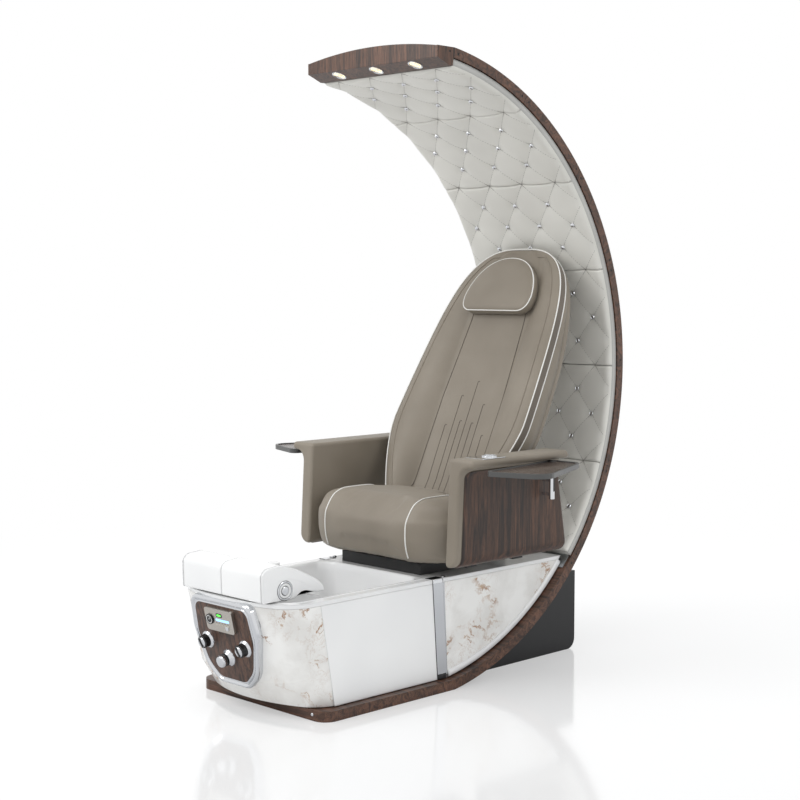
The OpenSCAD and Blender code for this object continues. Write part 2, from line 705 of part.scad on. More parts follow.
// A pad on its two ears, left (1) or right (-1)
module footrest_pad(s) color("#f4f4f2") difference() {
    union() {
        translate([s * (foot_w + foot_gap) / 2, 0, 0]) across(foot_w) polygon(rounded([
            [pivot_y - 90, rim_z + 4, 4], [pivot_y - 94, rim_z + 110, 26], [pivot_y - 14, rim_z + 118, 80],
            [pivot_y + 52, rim_z + 97, 60], [pivot_y + 132, rim_z + 58, 60], [pivot_y + 162, rim_z + 34, 12],
            [pivot_y + 170, rim_z + 13, 5], [pivot_y + 138, rim_z + 13, 8], [pivot_y + 63, rim_z + 54, 30],
            [pivot_y + 18, rim_z + 67, 10], [pivot_y - 36, rim_z + 62, 10], [pivot_y - 46, rim_z + 4, 3]]));
        for (x = [foot_gap / 2, foot_x1 - ear_t])
            rod_x(pivot_knob_r, s > 0 ? x : -x - ear_t, s > 0 ? x + ear_t : -x, pivot_y, pivot_z);
    }
    rod_x(axle_r + shaft_fit, -300, 300, pivot_y, pivot_z);
}

module footrest_axle() color("#d9dadc") {
    rod_x(axle_r, -foot_x1 - 1, foot_x1 + 1, pivot_y, pivot_z);
}

// ---- seat ----

module seat_plinth() color("#2b2b2c") {
    difference() {
        translate([-plinth_w / 2, plinth_y0, rim_z]) cube([plinth_w, plinth_len, arm_z0 - 8 - rim_z]);
        translate([-plinth_w / 2 + 6, plinth_y0 + 6, rim_z + 14]) cube([plinth_w - 12, plinth_len - 12, 40]);
    }
    for (s = [-1, 1], y = [arm_y0 + 90, arm_y0 + 330])
        translate([s > 0 ? plinth_w / 2 - 6 : -arm_gap / 2 - 20, y, arm_z0 - 8])
            cube([arm_gap / 2 + 26 - plinth_w / 2, 50, 8]);
}

module slide_rails() color("#b6b8bb") for (s = [-1, 1])
    translate([s * rail_x - 15, plinth_y0 + 10, rail_z]) cube([30, plinth_len - 20, rail_h]);

// Carriage: pan on four shoes that hug the rails, with the back's hinge brackets
module seat_carriage() color("#55575a") {
    y0 = seat_front_y + slide_travel + 30;
    y1 = hinge_y + 24;
    difference() {
        union() {
            translate([-190, y0, seat_z - 10]) cube([380, y1 - y0, 10 - fit]);
            for (s = [-1, 1], y = [plinth_y0 + slide_travel + 14, y1 - 74])
                translate([s * rail_x - 23, y, rail_z + 3]) cube([46, 60, seat_z - rail_z - 6]);
        }
        for (s = [-1, 1]) translate([s * rail_x - 15 - fit, y0 - 10, rail_z - 1])
            cube([30 + 2 * fit, y1 - y0 + 20, rail_h + 1 + fit]);
    }
    for (s = [-1, 1]) {
        translate([s * lug_x - lug_t / 2, 0, 0]) rotate([90, 0, 90]) linear_extrude(lug_t) polygon(rounded([
            [hinge_y - 24, seat_z - 9, 0], [hinge_y + 24, seat_z - 9, 0],
            [hinge_y + 20, hinge_z + 18, 18], [hinge_y - 20, hinge_z + 18, 18]]));
        rod_x(hinge_r, s > 0 ? lug_x - lug_t / 2 - 16 : -lug_x - 8, s > 0 ? lug_x + 8 : -lug_x + lug_t / 2 + 16,
            hinge_y, hinge_z);
    }
}

module seat_cushion() {
    a = seat_w / 2;
    p = piping_w / 2;
    xs = [-a, -a + 22, -p - 60, -p - 12, -p, -p + 14, -tongue_w, -110, -72, -36, 0, 36, 72, 110, tongue_w, p - 14, p, p + 12, p + 60, a - 22, a];
    vs = [0, 0.05, 0.14, 0.3, 0.48, 0.66, 0.8, 0.92, 1];
    function rear(x) = seat_rear_y + tongue_len * pow(max(0, 1 - pow(x / tongue_w, 4)), 0.5);
    function front(x) = seat_front_y + 92 * pow(max(0, abs(x) - p + 10) / (a - p + 10), 2);
    function groove(x, v) = v < 0.6 ? 0 : abs(x) < 115 && (x % 72) == 0 ? 5 : 0;
    function rise(x, v) = seat_crown * (1 - pow(x / a, 4)) * (1 - pow(2 * v - 1, 4))
        - 44 * pow(max(0, 0.22 - v) / 0.22, 2.2) - 16 * pow(max(0, v - 0.86) / 0.14, 2)
        - 22 * pow(abs(x) / a, 8) - groove(x, v) - (abs(x) == p && v < 0.9 ? 3 : 0);
    top = [for (v = vs) [for (x = xs) let(y = front(x) + (rear(x) - front(x)) * v)
        [x, y, seat_z + seat_t + rise(x, v)]]];
    edge = edge_loop(top);
    mid_y = (seat_front_y + seat_rear_y) / 2;
    function drawn(k, z) = [for (q = edge) [q[0] * (1 + k / a), q[1] + k * sign(q[1] - mid_y), z]];
    color("#857c6f") grid_solid(top, [drawn(-1, seat_z + 110), drawn(-3, seat_z + 46), drawn(-14, seat_z)],
        [0, mid_y, seat_z]);
}

// Maps into the back's frame: +Z up along the back, -Y out of its front, piping plane at y = 0
module on_back() translate([0, back_y, back_z]) rotate([-recline, 0, 0]) children();

function back_half(s) = s < back_wide_s
    ? back_w / 2 - (back_w - back_low_w) / 2 * pow((back_wide_s - s) / back_wide_s, 1.3)
    : let(t = (s - back_wide_s) / (back_len - back_wide_s))
        back_w / 2 * (1 - 0.2 * t) * pow(max(0, 1 - pow(t, 6)), 1 / 2.8);

// Depth of the cushion behind its piping at height s
function band_at(s) = s < taper_s ? band_t : band_t - (band_t - band_top_t) * (s - taper_s) / (back_len - taper_s);

// Depth of the body channel at height s
function channel_depth(s) = s < 760 ? scoop - (scoop - 20) * pow(max(0, s - 120) / 640, 0.9)
    : 20 * max(0, 1 - (s - 760) / 120);

module back_cushion() {
    us = [-1, -0.93, -0.8, -0.62, -0.5, -0.42, -0.3, -0.2, -0.1, 0, 0.1, 0.2, 0.3, 0.42, 0.5, 0.62, 0.8, 0.93, 1];
    ss = [0, 45, 110, 180, 250, 330, 420, 510, 600, 690, 770, 850, 920, 975, 1015, 1045, 1062];
    c = channel_w / 2;
    function spread(u, s) = let(w = back_half(s)) abs(u) <= 0.5 ? u / 0.5 * min(c, 0.6 * w)
        : sign(u) * (min(c, 0.6 * w) + (w - min(c, 0.6 * w)) * (abs(u) - 0.5) / 0.5);
    function groove(u, s) = s < 260 && abs(u) < 0.45 && (round(abs(u) * 10) % 2) == 0 ? 5 : 0;
    function face(u, s) = let(b = (abs(u) - 0.5) / 0.5)
        abs(u) <= 0.5 ? channel_depth(s) * (1 - pow(abs(u) / 0.5, 6) * 0.25) - 8 + groove(u, s) + (abs(u) == 0.5 ? 6 : 0)
        : channel_depth(s) * 0.72 * pow(1 - b, 1.6) - 20 * sin(180 * min(1, b)) * min(1, (back_len - s) / 420);
    grid = [for (s = ss) [for (u = us) [spread(u, s), abs(u) == 1 || s > 1060 ? 4 : face(u, s),
        s + (s > 1040 ? 7 * (1 - u * u) : 0)]]];
    edge = edge_loop(grid);
    rear = [for (q = edge) [q[0], band_at(q[2]) - fit, q[2]]];
    mid = [for (q = edge) [q[0] * 1.006, (q[1] + band_at(q[2])) / 2, q[2]]];
    color("#857c6f") on_back() difference() {
        grid_solid(grid, [mid, rear]);
        translate([-400, -100, -50]) cube([800, 400, 50 + eps]);
    }
}

module egg(inset, s0, s1) {
    n = 28;
    side = [for (k = [0:n]) let(s = s0 + (s1 - s0) * (1 - pow(1 - k / n, 2))) [max(4, back_half(s) - inset), s]];
    polygon([each side, for (k = [n:-1:0]) [-side[k][0], side[k][1]]]);
}

module back_shell() color("#857c6f") on_back() {
    s0 = 86;
    difference() {
        intersection() {
            rotate([90, 0, 0]) translate([0, 0, -300]) linear_extrude(400) egg(3, s0, back_len - 3);
            across(900) polygon([[band_t, s0], [band_t, taper_s], [band_top_t, back_len], [top_t, back_len],
                [100, 950], [135, 720], [140, 420], [124, 160], [band_t + 14, s0]]);
        }
    }
    hy = (hinge_y - back_y) * cos(recline) - (hinge_z - back_z) * sin(recline);
    hs = (hinge_y - back_y) * sin(recline) + (hinge_z - back_z) * cos(recline);
    for (s = [-1, 1]) translate([s * (lug_x - lug_t / 2 - fit - 6) - 6, 0, 0]) difference() {
        rotate([90, 0, 90]) linear_extrude(12) polygon(rounded([
            [band_t, s0 + 60, 0], [hy - 18, hs - 18, 16], [hy + 18, hs - 18, 16], [hy + 18, s0 + 60, 0]]));
        rod_x(hinge_r + shaft_fit, -20, 30, hy, hs);
    }
}

module headrest() {
    s0 = 782;
    a = head_w / 2;
    us = [-1, -0.9, -0.65, -0.33, 0, 0.33, 0.65, 0.9, 1];
    vs = [0, 0.1, 0.3, 0.55, 0.8, 0.93, 1];
    function half(v) = a * pow(max(0.06, 1 - pow(v, 3.2)), 1 / 2.2);
    function out(u, v) = 38 * pow(max(0, 1 - pow(abs(u), 3)), 0.6) * pow(max(0, 1 - pow(abs(2 * v - 0.9) / 1.1, 4)), 0.6);
    grid = [for (v = vs) [for (u = us) [u * half(v), -10 - out(u, v), s0 + head_len * v]]];
    rear = [for (q = edge_loop(grid)) [q[0] * 0.98, -8.6, q[2]]];
    color("#857c6f") on_back() grid_solid(grid, [rear]);
}

// ---- arms ----

function arm_section(inset) = let(x0 = arm_gap / 2, x1 = x0 + arm_t - inset, x2 = x0 + arm_top_w) rounded([
    [x0, arm_z0 + inset, 8], [x1, arm_z0 + inset, 40 - inset], [x1, arm_z1 - 28, 40],
    [x2, arm_z1 - 28, 8], [x2, arm_z1, 14], [x0, arm_z1, 14]]);

module arm_sides(front) across(1400) {
    h = arm_z1 - arm_z0 + 20;
    polygon([[front, arm_z0 - 10], [front + h * tan(arm_front_lean), arm_z0 - 10 + h],
        [arm_y0 + arm_len - 10 - h * tan(arm_rear_lean) + 40, arm_z0 - 10 + h], [arm_y0 + arm_len + 30, arm_z0 - 10]]);
}

// The arm's cross-section run along its length, for the left (1) or right (-1) arm
module arm_run(s, inset) mirror([s > 0 ? 0 : 1, 0, 0]) translate([0, arm_y0 + arm_len + 60, 0])
    rotate([90, 0, 0]) linear_extrude(arm_len + 120) polygon(arm_section(inset));

// The outer and lower skin of an arm, where its wood lies
module clad_zone(s, play) difference() {
    translate([s * (arm_gap / 2 + 10 + 100) - 100, 0, arm_z0 - 20]) intersection() {
        translate([0, arm_y0 - 50, 0]) cube([200, arm_len + 100, clad_z1 - play - arm_z0 + 20]);
        translate([0, clad_y0 + play, 0]) rotate([-arm_front_lean, 0, 0]) translate([-10, 0, -50]) cube([220, 900, 700]);
    }
    arm_run(s, clad_t);
}

module arm(s) color("#857c6f") difference() {
    intersection() {
        arm_run(s, 0);
        arm_sides(arm_y0);
    }
    clad_zone(s, 0);
}

module arm_cladding(s) color("#4a352c") intersection() {
    arm_run(s, 0);
    arm_sides(arm_y0);
    clad_zone(s, fit);
}

module arm_plate() color("#d9dadc") translate([arm_gap / 2 + 60, arm_y0 + 140, arm_z1]) {
    linear_extrude(2) round_rect(88, 120, 10);
    translate([0, 18, 2 - eps]) difference() {
        cylinder(r = 26, h = 4);
        translate([0, 0, 1]) cylinder(r = 20, h = 5);
    }
}

// ---- trays ----

module tray_post(s) color("#d9dadc") {
    x = s * post_x;
    wall = s * (arm_gap / 2 + arm_t);
    difference() {
        translate([x, post_y, post_z0]) cylinder(r = post_r, h = tray_z + tray_t - 4 - post_z0);
        translate([x, post_y, post_z0 - 1]) cylinder(r = 3, h = 8);
    }
    for (z = [post_z0 + 12, post_z0 + 62])
        translate([min(x, wall), post_y - 8, z]) cube([abs(x - wall), 16, 10]);
}

module tray_plan(grow) polygon(rounded([
    [-hub_r - grow, hub_r + grow, hub_r + grow - eps], [46 - grow, -406 - grow, 24],
    [262 + grow, -334 - grow, 60], [112 + grow, 26 + grow, 50]]));

module tray(s) color("#4b4a49") translate([s * post_x, post_y, tray_z]) mirror([s > 0 ? 0 : 1, 0, 0]) difference() {
    union() {
        linear_extrude(tray_t - 4) tray_plan(0);
        translate([0, 0, tray_t - 4 - eps]) linear_extrude(4) difference() {
            tray_plan(0);
            tray_plan(-8);
        }
        cylinder(r = hub_r - 1, h = tray_t);
    }
    translate([0, 0, -1]) cylinder(r = post_r + shaft_fit, h = tray_t - 3);
}

sled_base();
arch_segment(1);  // arch_segment_1
arch_segment(2);  // arch_segment_2
arch_segment(3);  // arch_segment_3
arch_segment(4);  // arch_segment_4
arch_segment(5);  // arch_segment_5
arch_segment(6);  // arch_segment_6
liner_panel(1);  // liner_panel_1
liner_panel(2);  // liner_panel_2
liner_panel(3);  // liner_panel_3
liner_panel(4);  // liner_panel_4
liner_panel(5);  // liner_panel_5
liner_panel(6);  // liner_panel_6
tuft_buttons();
joint_plates();
joint_screws();
light_bar();
downlights();
chassis();
deck();
tub_basin();
front_wrap();
skirt_side(1);  // side_skirt_left
skirt_side(-1);  // side_skirt_right
rear_panel(1);  // rear_panel_left
rear_panel(-1);  // rear_panel_right
trim_bands();
drain();
jet_cover();
footrest_base();
footrest_pad(1);  // footrest_pad_left
footrest_pad(-1);  // footrest_pad_right
footrest_axle();
spray_holder();
spray_head();
control_bezel();
control_fascia();
display_pod();
mode_dial();
start_key();
color("#d9dadc") turn_knob(knob_x, knob_row, knob_r, 25);  // valve_knob_left
color("#d9dadc") turn_knob(-knob_x, knob_row, knob_r, 25);  // valve_knob_right
color("#d9dadc") turn_knob(0, mixer_row, knob_r, 34);  // diverter_knob
pump_housing();
seat_plinth();
slide_rails();
seat_carriage();
seat_cushion();
back_shell();
back_cushion();
headrest();
arm(1);  // arm_left
arm(-1);  // arm_right
arm_cladding(1);  // arm_cladding_left
arm_cladding(-1);  // arm_cladding_right
arm_plate();
tray(1);  // tray_left
tray(-1);  // tray_right
tray_post(1);  // tray_post_left
tray_post(-1);  // tray_post_right
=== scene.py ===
"""Looks of a pedicure spa chair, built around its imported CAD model.

Frame: metres, +Z up, floor at z = 0, the sitter faces -Y, +X is the sitter's left.
"""

import logging
import math
from collections.abc import Iterable, Sequence
from dataclasses import dataclass, field
from enum import Enum

import bmesh
import bpy
import numpy as np
from mathutils import Matrix, Vector
from mathutils.bvhtree import BVHTree

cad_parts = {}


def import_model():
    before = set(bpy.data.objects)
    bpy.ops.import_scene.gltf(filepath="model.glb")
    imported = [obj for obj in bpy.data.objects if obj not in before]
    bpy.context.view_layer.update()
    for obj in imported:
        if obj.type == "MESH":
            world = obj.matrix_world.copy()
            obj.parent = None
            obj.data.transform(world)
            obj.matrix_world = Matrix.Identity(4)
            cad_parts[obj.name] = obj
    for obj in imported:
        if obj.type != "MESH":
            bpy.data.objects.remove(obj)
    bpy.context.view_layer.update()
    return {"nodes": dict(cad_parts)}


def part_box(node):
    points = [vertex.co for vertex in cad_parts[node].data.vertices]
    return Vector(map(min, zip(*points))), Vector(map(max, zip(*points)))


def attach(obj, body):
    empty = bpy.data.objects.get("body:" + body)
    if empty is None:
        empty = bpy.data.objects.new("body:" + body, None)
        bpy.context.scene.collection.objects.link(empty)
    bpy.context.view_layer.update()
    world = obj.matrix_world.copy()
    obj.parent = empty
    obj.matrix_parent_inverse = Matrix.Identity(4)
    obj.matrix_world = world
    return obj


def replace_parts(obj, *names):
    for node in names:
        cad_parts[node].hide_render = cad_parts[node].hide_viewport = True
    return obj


log = logging.getLogger("spa_chair")

Point = tuple[float, float, float]
Flat = tuple[float, float]
Piece = bpy.types.Object
Tree = bpy.types.NodeTree
Node = bpy.types.Node
MM = 0.001


# ---- shared geometry ----


@dataclass(frozen=True)
class Layout:
    """Sizes and places that several sub-assemblies share, in metres and degrees."""

    arch_r: float = 1.104
    arch_in: float = 1.069
    arch_w: float = 0.645
    arch_y: float = -0.24994
    arch_z: float = 1.090
    first_joint: float = 8.6
    segment_angle: float = 20.43
    liner_back_r: float = 1.066
    liner_face_r: float = 1.042
    front_y: float = -0.84294
    rim_z: float = 0.388
    front_lean: float = 12.9
    back_y: float = 0.1063
    back_z: float = 0.600
    recline: float = 30.0
    back_len: float = 1.070
    seat_front_y: float = -0.1967
    arm_y0: float = -0.1547
    arm_gap: float = 0.692
    arm_z0: float = 0.436
    arm_z1: float = 0.807
    half_tub: float = 0.290
    welt_r: float = 0.0024

    def on_arch(self, x: float, r: float, a: float) -> Point:
        """A point on the arch at radius r and a degrees from its top towards the rear."""
        t = math.radians(a)
        return (x, self.arch_y + r * math.sin(t), self.arch_z + r * math.cos(t))

    def on_back(self, x: float, y: float, z: float) -> Point:
        """A point given in the back's own frame: z up the back, -y out of its front.

        Args:
            x: distance across.
            y: depth behind the front.
            z: height up the back.

        Returns:
            The point in the chair's frame.
        """
        t = math.radians(self.recline)
        return (x, self.back_y + y * math.cos(t) + z * math.sin(t),
                self.back_z - y * math.sin(t) + z * math.cos(t))

    def front_matrix(self) -> Matrix:
        """Maps onto the tub's leaning front: y up the face, z outwards."""
        return Matrix.Translation((0, self.front_y, self.rim_z)) @ Matrix.Rotation(
            math.radians(90 + self.front_lean), 4, "X")


AT = Layout()


def side_name(side: int) -> str:
    """The sitter's side that a sign stands for."""
    return "left" if side > 0 else "right"


def sideways(side: int) -> Matrix:
    """Turns the local z axis outwards, to one side of the chair."""
    return Matrix.Rotation(side * math.pi / 2, 4, "Y")


def rounded(corners: Sequence[tuple[float, float, float]], steps: int = 8) -> list[Flat]:
    """Rounds the corners of an outline.

    Args:
        corners: (x, y, radius) of each corner, in order.
        steps: points along each round corner.

    Returns:
        The outline's points.
    """
    out: list[Flat] = []
    count = len(corners)
    for i, (bx, by, radius) in enumerate(corners):
        before, here, after = (Vector(corners[(i + d) % count][:2]) for d in (-1, 0, 1))
        if radius <= 0:
            out.append((bx, by))
            continue
        u, v = (before - here).normalized(), (after - here).normalized()
        half = math.acos(max(-1, min(1, u.dot(v)))) / 2
        centre = here + (u + v).normalized() * radius / math.sin(half)
        p, q = here + u * radius / math.tan(half) - centre, here + v * radius / math.tan(half) - centre
        start, turn = math.atan2(p.y, p.x), math.atan2(q.y, q.x) - math.atan2(p.y, p.x)
        turn = turn - 2 * math.pi if turn > math.pi else turn + 2 * math.pi if turn < -math.pi else turn
        out += [(centre.x + radius * math.cos(start + turn * k / steps),
                 centre.y + radius * math.sin(start + turn * k / steps)) for k in range(steps + 1)]
    return out


def new_mesh(name: str, points: Iterable[Point], faces: Iterable[Sequence[int]], smooth: bool = True) -> Piece:
    """Makes a mesh object in the scene.

    Args:
        name: the object's name.
        points: its vertices.
        faces: vertex indices of each face.
        smooth: whether its faces are shaded smooth.

    Returns:
        The new object.
    """
    mesh = bpy.data.meshes.new(name)
    mesh.from_pydata([tuple(p) for p in points], [], [tuple(f) for f in faces])
    mesh.validate()
    made = bpy.data.objects.new(name, mesh)
    bpy.context.scene.collection.objects.link(made)
    build = bmesh.new()
    build.from_mesh(mesh)
    bmesh.ops.recalc_face_normals(build, faces=build.faces)
    build.to_mesh(mesh)
    build.free()
    mesh.shade_smooth() if smooth else mesh.shade_flat()
    return made


def lofted(name: str, rings: Sequence[Sequence[Point]], caps: bool = True, smooth: bool = True) -> Piece:
    """Skins closed rings of equal point count into one body.

    Args:
        name: the object's name.
        rings: the rings, from one end to the other.
        caps: whether the two ends are closed.
        smooth: whether it is shaded smooth.

    Returns:
        The new object.
    """
    n = len(rings[0])
    faces: list[Sequence[int]] = [
        (r * n + k, r * n + (k + 1) % n, (r + 1) * n + (k + 1) % n, (r + 1) * n + k)
        for r in range(len(rings) - 1) for k in range(n)]
    if caps:
        faces += [list(range(n))[::-1], [(len(rings) - 1) * n + k for k in range(n)]]
    return new_mesh(name, [p for ring in rings for p in ring], faces, smooth)


def tube(name: str, path: Sequence[Point], radius: float, closed: bool = False, sides: int = 8) -> Piece:
    """Sweeps a round section along a path.

    Args:
        name: the object's name.
        path: the points that the centre follows.
        radius: the section's radius.
        closed: whether the path joins up with its start.
        sides: points around the section.

    Returns:
        The new object.
    """
    pts = [Vector(p) for p in path]
    count = len(pts)
    tangents = [((pts[(i + 1) % count] if closed or i < count - 1 else pts[i])
                 - (pts[i - 1] if closed or i > 0 else pts[i])).normalized() for i in range(count)]
    side = tangents[0].orthogonal().normalized()
    rings = []
    for p, t in zip(pts, tangents):
        side = (side - t * side.dot(t)).normalized()
        up = t.cross(side)
        rings.append([tuple(p + (side * math.cos(a) + up * math.sin(a)) * radius)
                      for a in (2 * math.pi * k / sides for k in range(sides))])
    if closed:
        rings.append(rings[0])
    return lofted(name, rings, caps=not closed)


def lathe(name: str, profile: Sequence[Flat], place: Matrix, sides: int = 48) -> Piece:
    """Turns a profile of (radius, height) about the local z axis.

    Args:
        name: the object's name.
        profile: the (radius, height) points, from the foot up.
        place: where the local frame goes.
        sides: points around each ring.

    Returns:
        The new object.
    """
    rings = [[tuple(place @ Vector((r * math.cos(a), r * math.sin(a), h)))
              for a in (2 * math.pi * k / sides for k in range(sides))] for r, h in profile]
    return crisp(lofted(name, rings), 35)


def slab(name: str, outline: Sequence[Flat], low: float, high: float, place: Matrix, edge: float = 0.0) -> Piece:
    """Raises a flat outline into a plate with softened upper and lower edges.

    Args:
        name: the object's name.
        outline: the plate's outline in its local x-y plane.
        low: the local height of its underside.
        high: the local height of its top.
        place: where the local frame goes.
        edge: radius of its edges.

    Returns:
        The new object.
    """
    rings = [[tuple(place @ Vector((x, y, z))) for x, y in outline] for z in (low, high)]
    made = lofted(name, rings, smooth=False)
    if edge:
        bevel(made, edge)
    return made


def two_sided(name: str, front: Sequence[Point], rear: Sequence[Point], wide: int, tall: int) -> Piece:
    """Closes a grid of points and its copy behind into one thin body.

    Args:
        name: the object's name.
        front: the points that show, row by row.
        rear: the same grid on the hidden side.
        wide: points in a row.
        tall: number of rows.

    Returns:
        The new object.
    """
    count = wide * tall
    cells = grid_faces(wide, tall)
    loop = border_loop(wide, tall)
    walls = [(a, b, b + count, a + count) for a, b in zip(loop, loop[1:] + loop[:1])]
    return new_mesh(name, [*front, *rear], [*cells, *(tuple(k + count for k in cell[::-1]) for cell in cells), *walls])


def grid_faces(wide: int, tall: int) -> list[Sequence[int]]:
    """The faces of a grid of points."""
    return [(j * wide + i, j * wide + i + 1, (j + 1) * wide + i + 1, (j + 1) * wide + i)
            for j in range(tall - 1) for i in range(wide - 1)]


def band_faces(upper: Sequence[int], lower: Sequence[int]) -> list[Sequence[int]]:
    """The faces between two closed loops of as many points."""
    count = len(upper)
    return [(upper[k], upper[(k + 1) % count], lower[(k + 1) % count], lower[k]) for k in range(count)]


def fan_faces(loop: Sequence[int], centre: int) -> list[Sequence[int]]:
    """The triangles that close a loop at a centre point."""
    return [(loop[k], loop[(k + 1) % len(loop)], centre) for k in range(len(loop))]


def eased(radius: float, steps: int = 6) -> list[Flat]:
    """The (distance from the end, inset) pairs of a quarter round, from the end inwards."""
    turns = [math.pi / 2 * k / steps for k in range(steps + 1)]
    return [(radius * (1 - math.cos(t)), radius * (1 - math.sin(t))) for t in turns]


def border_loop(wide: int, tall: int) -> list[int]:
    """The indices round the border of a grid of points."""
    loop = list(range(wide)) + [j * wide + wide - 1 for j in range(1, tall)]
    return loop + [(tall - 1) * wide + i for i in range(wide - 2, -1, -1)] + [j * wide for j in range(tall - 2, 0, -1)]


def shrunk(outline: Sequence[Flat], by: float) -> list[Flat]:
    """An outline drawn in by a distance along its normals.

    Args:
        outline: the closed outline.
        by: how far it is drawn in.

    Returns:
        The new outline.
    """
    pts = [Vector(p) for p in outline]
    count = len(pts)
    area = sum(pts[i].x * pts[(i + 1) % count].y - pts[(i + 1) % count].x * pts[i].y for i in range(count))
    out = []
    for i, p in enumerate(pts):
        along = (pts[(i + 1) % count] - pts[i - 1]).normalized()
        out.append(tuple(p + Vector((-along.y, along.x)) * (by if area > 0 else -by)))
    return out


def bevel(piece: Piece, width: float, segments: int = 3, angle: float = 35) -> None:
    """Rounds a piece's sharp edges and applies the result.

    Args:
        piece: the piece.
        width: the width of the rounding.
        segments: the faces across it.
        angle: edges sharper than this many degrees are rounded.
    """
    mod = piece.modifiers.new("edge", "BEVEL")
    mod.width, mod.segments, mod.limit_method, mod.angle_limit = width, segments, "ANGLE", math.radians(angle)
    mod.harden_normals = False
    apply_modifiers(piece)
    crisp(piece, 40)


def crisp(piece: Piece, degrees: float) -> Piece:
    """Shades a piece smooth, with edges sharper than the given angle left sharp.

    Args:
        piece: the piece.
        degrees: the angle from which an edge stays sharp.

    Returns:
        The piece.
    """
    piece.data.shade_smooth()
    piece.data.set_sharp_from_angle(angle=math.radians(degrees))
    return piece


def apply_modifiers(piece: Piece) -> None:
    """Replaces a piece's mesh with its evaluated mesh and clears its modifiers.

    Args:
        piece: the piece.
    """
    graph = bpy.context.evaluated_depsgraph_get()
    graph.update()
    mesh = bpy.data.meshes.new_from_object(piece.evaluated_get(graph), preserve_all_data_layers=True, depsgraph=graph)
    piece.modifiers.clear()
    piece.data = mesh


def join(name: str, pieces: Sequence[Piece]) -> Piece:
    """Joins meshes into one object.

    Args:
        name: the joined object's name.
        pieces: the objects; they are used up.

    Returns:
        The joined object.
    """
    build = bmesh.new()
    for piece in pieces:
        build.from_mesh(piece.data)
    mesh = bpy.data.meshes.new(name)
    build.to_mesh(mesh)
    build.free()
    for piece in pieces:
        bpy.data.objects.remove(piece)
    made = bpy.data.objects.new(name, mesh)
    bpy.context.scene.collection.objects.link(made)
    return made


def inflate(piece: Piece, cap: float, voxel: float = 0.006, pressure: float = 4.0) -> None:
    """Swells a closed cushion with a short cloth simulation and applies it.

    Args:
        piece: the cushion; its mesh is remeshed.
        cap: the furthest that a point may move.
        voxel: the remesh size.
        pressure: the air pressure inside.
    """
    remesh = piece.modifiers.new("remesh", "REMESH")
    remesh.mode, remesh.voxel_size, remesh.use_smooth_shade = "VOXEL", voxel, True
    apply_modifiers(piece)
    smooth = piece.modifiers.new("smooth", "SMOOTH")
    smooth.factor, smooth.iterations = 0.5, 4
    apply_modifiers(piece)
    rest = np.array([v.co for v in piece.data.vertices])
    cloth = piece.modifiers.new("cloth", "CLOTH")
    cloth.settings.use_pressure = True
    cloth.settings.uniform_pressure_force = pressure
    cloth.settings.effector_weights.gravity = 0.0
    cloth.settings.tension_stiffness = cloth.settings.compression_stiffness = 25
    cloth.settings.bending_stiffness = 2.0
    cloth.point_cache.frame_start, cloth.point_cache.frame_end = 1, 20
    for frame_number in range(1, 21):
        bpy.context.scene.frame_set(frame_number)
    apply_modifiers(piece)
    bpy.context.scene.frame_set(1)
    moved = np.array([v.co for v in piece.data.vertices]) - rest
    far = np.linalg.norm(moved, axis=1, keepdims=True)
    kept = rest + moved * np.minimum(1, cap / np.maximum(far, 1e-9))
    piece.data.vertices.foreach_set("co", kept.astype(np.float32).ravel())
    piece.data.update()


# ---- finishes ----


def linear(colour: str, alpha: float = 1.0) -> tuple[float, float, float, float]:
    """Turns an sRGB hex colour into linear RGBA.

    Args:
        colour: the hex colour.
        alpha: its opacity.

    Returns:
        Red, green, blue and alpha.
    """
    parts = [int(colour[i:i + 2], 16) / 255 for i in (1, 3, 5)]
    r, g, b = (c / 12.92 if c <= 0.04045 else ((c + 0.055) / 1.055) ** 2.4 for c in parts)
    return (r, g, b, alpha)


def add(tree: Tree, kind: str, values: dict[str | int, object] | None = None,
        links: dict[str | int, tuple[Node, str | int]] | None = None, **settings: object) -> Node:
    """Adds a shader node.

    Args:
        tree: the node tree.
        kind: the node's type.
        values: input socket values, by name or number.
        links: input sockets fed by (node, output name or number).
        settings: the node's own properties.

    Returns:
        The new node.
    """
    made = tree.nodes.new(kind)
    for name, value in settings.items():
        setattr(made, name, value)
    for key, value in (values or {}).items():
        made.inputs[key].default_value = value
    for key, (source, output) in (links or {}).items():
        tree.links.new(source.outputs[output], made.inputs[key])
    return made


def ramp(tree: Tree, source: tuple[Node, str | int], stops: Sequence[tuple[float, str]]) -> Node:
    """Adds a colour ramp over a value; each stop is (position, hex colour).

    Args:
        tree: the node tree.
        source: the node and output that feed it.
        stops: the (position, hex colour) stops.

    Returns:
        The ramp.
    """
    made = add(tree, "ShaderNodeValToRGB", links={"Fac": source})
    while len(made.color_ramp.elements) < len(stops):
        made.color_ramp.elements.new(0.5)
    for element, (position, colour) in zip(made.color_ramp.elements, stops):
        element.position, element.color = position, linear(colour)
    return made


class Grain(Enum):
    """The direction that wood grain runs in, as the scale of each axis across it."""

    UP = (1.0, 1.0, 0.06)
    ALONG = (1.0, 0.06, 1.0)
    ACROSS = (0.06, 1.0, 1.0)


class Finish:
    """A surface finish that makes one Blender material the first time it is used."""

    title: str = "finish"

    def material(self) -> bpy.types.Material:
        """The finish's material, made once.

        Returns:
            The material.
        """
        found = bpy.data.materials.get(self.title)
        if found:
            return found
        made = bpy.data.materials.new(self.title)
        made.use_nodes = True
        made.node_tree.nodes.clear()
        shader = self.shade(made.node_tree)
        add(made.node_tree, "ShaderNodeOutputMaterial", links={"Surface": (shader, 0)})
        return made

    def shade(self, tree: Tree) -> Node:
        """Builds the finish's nodes and returns its shader."""
        raise NotImplementedError


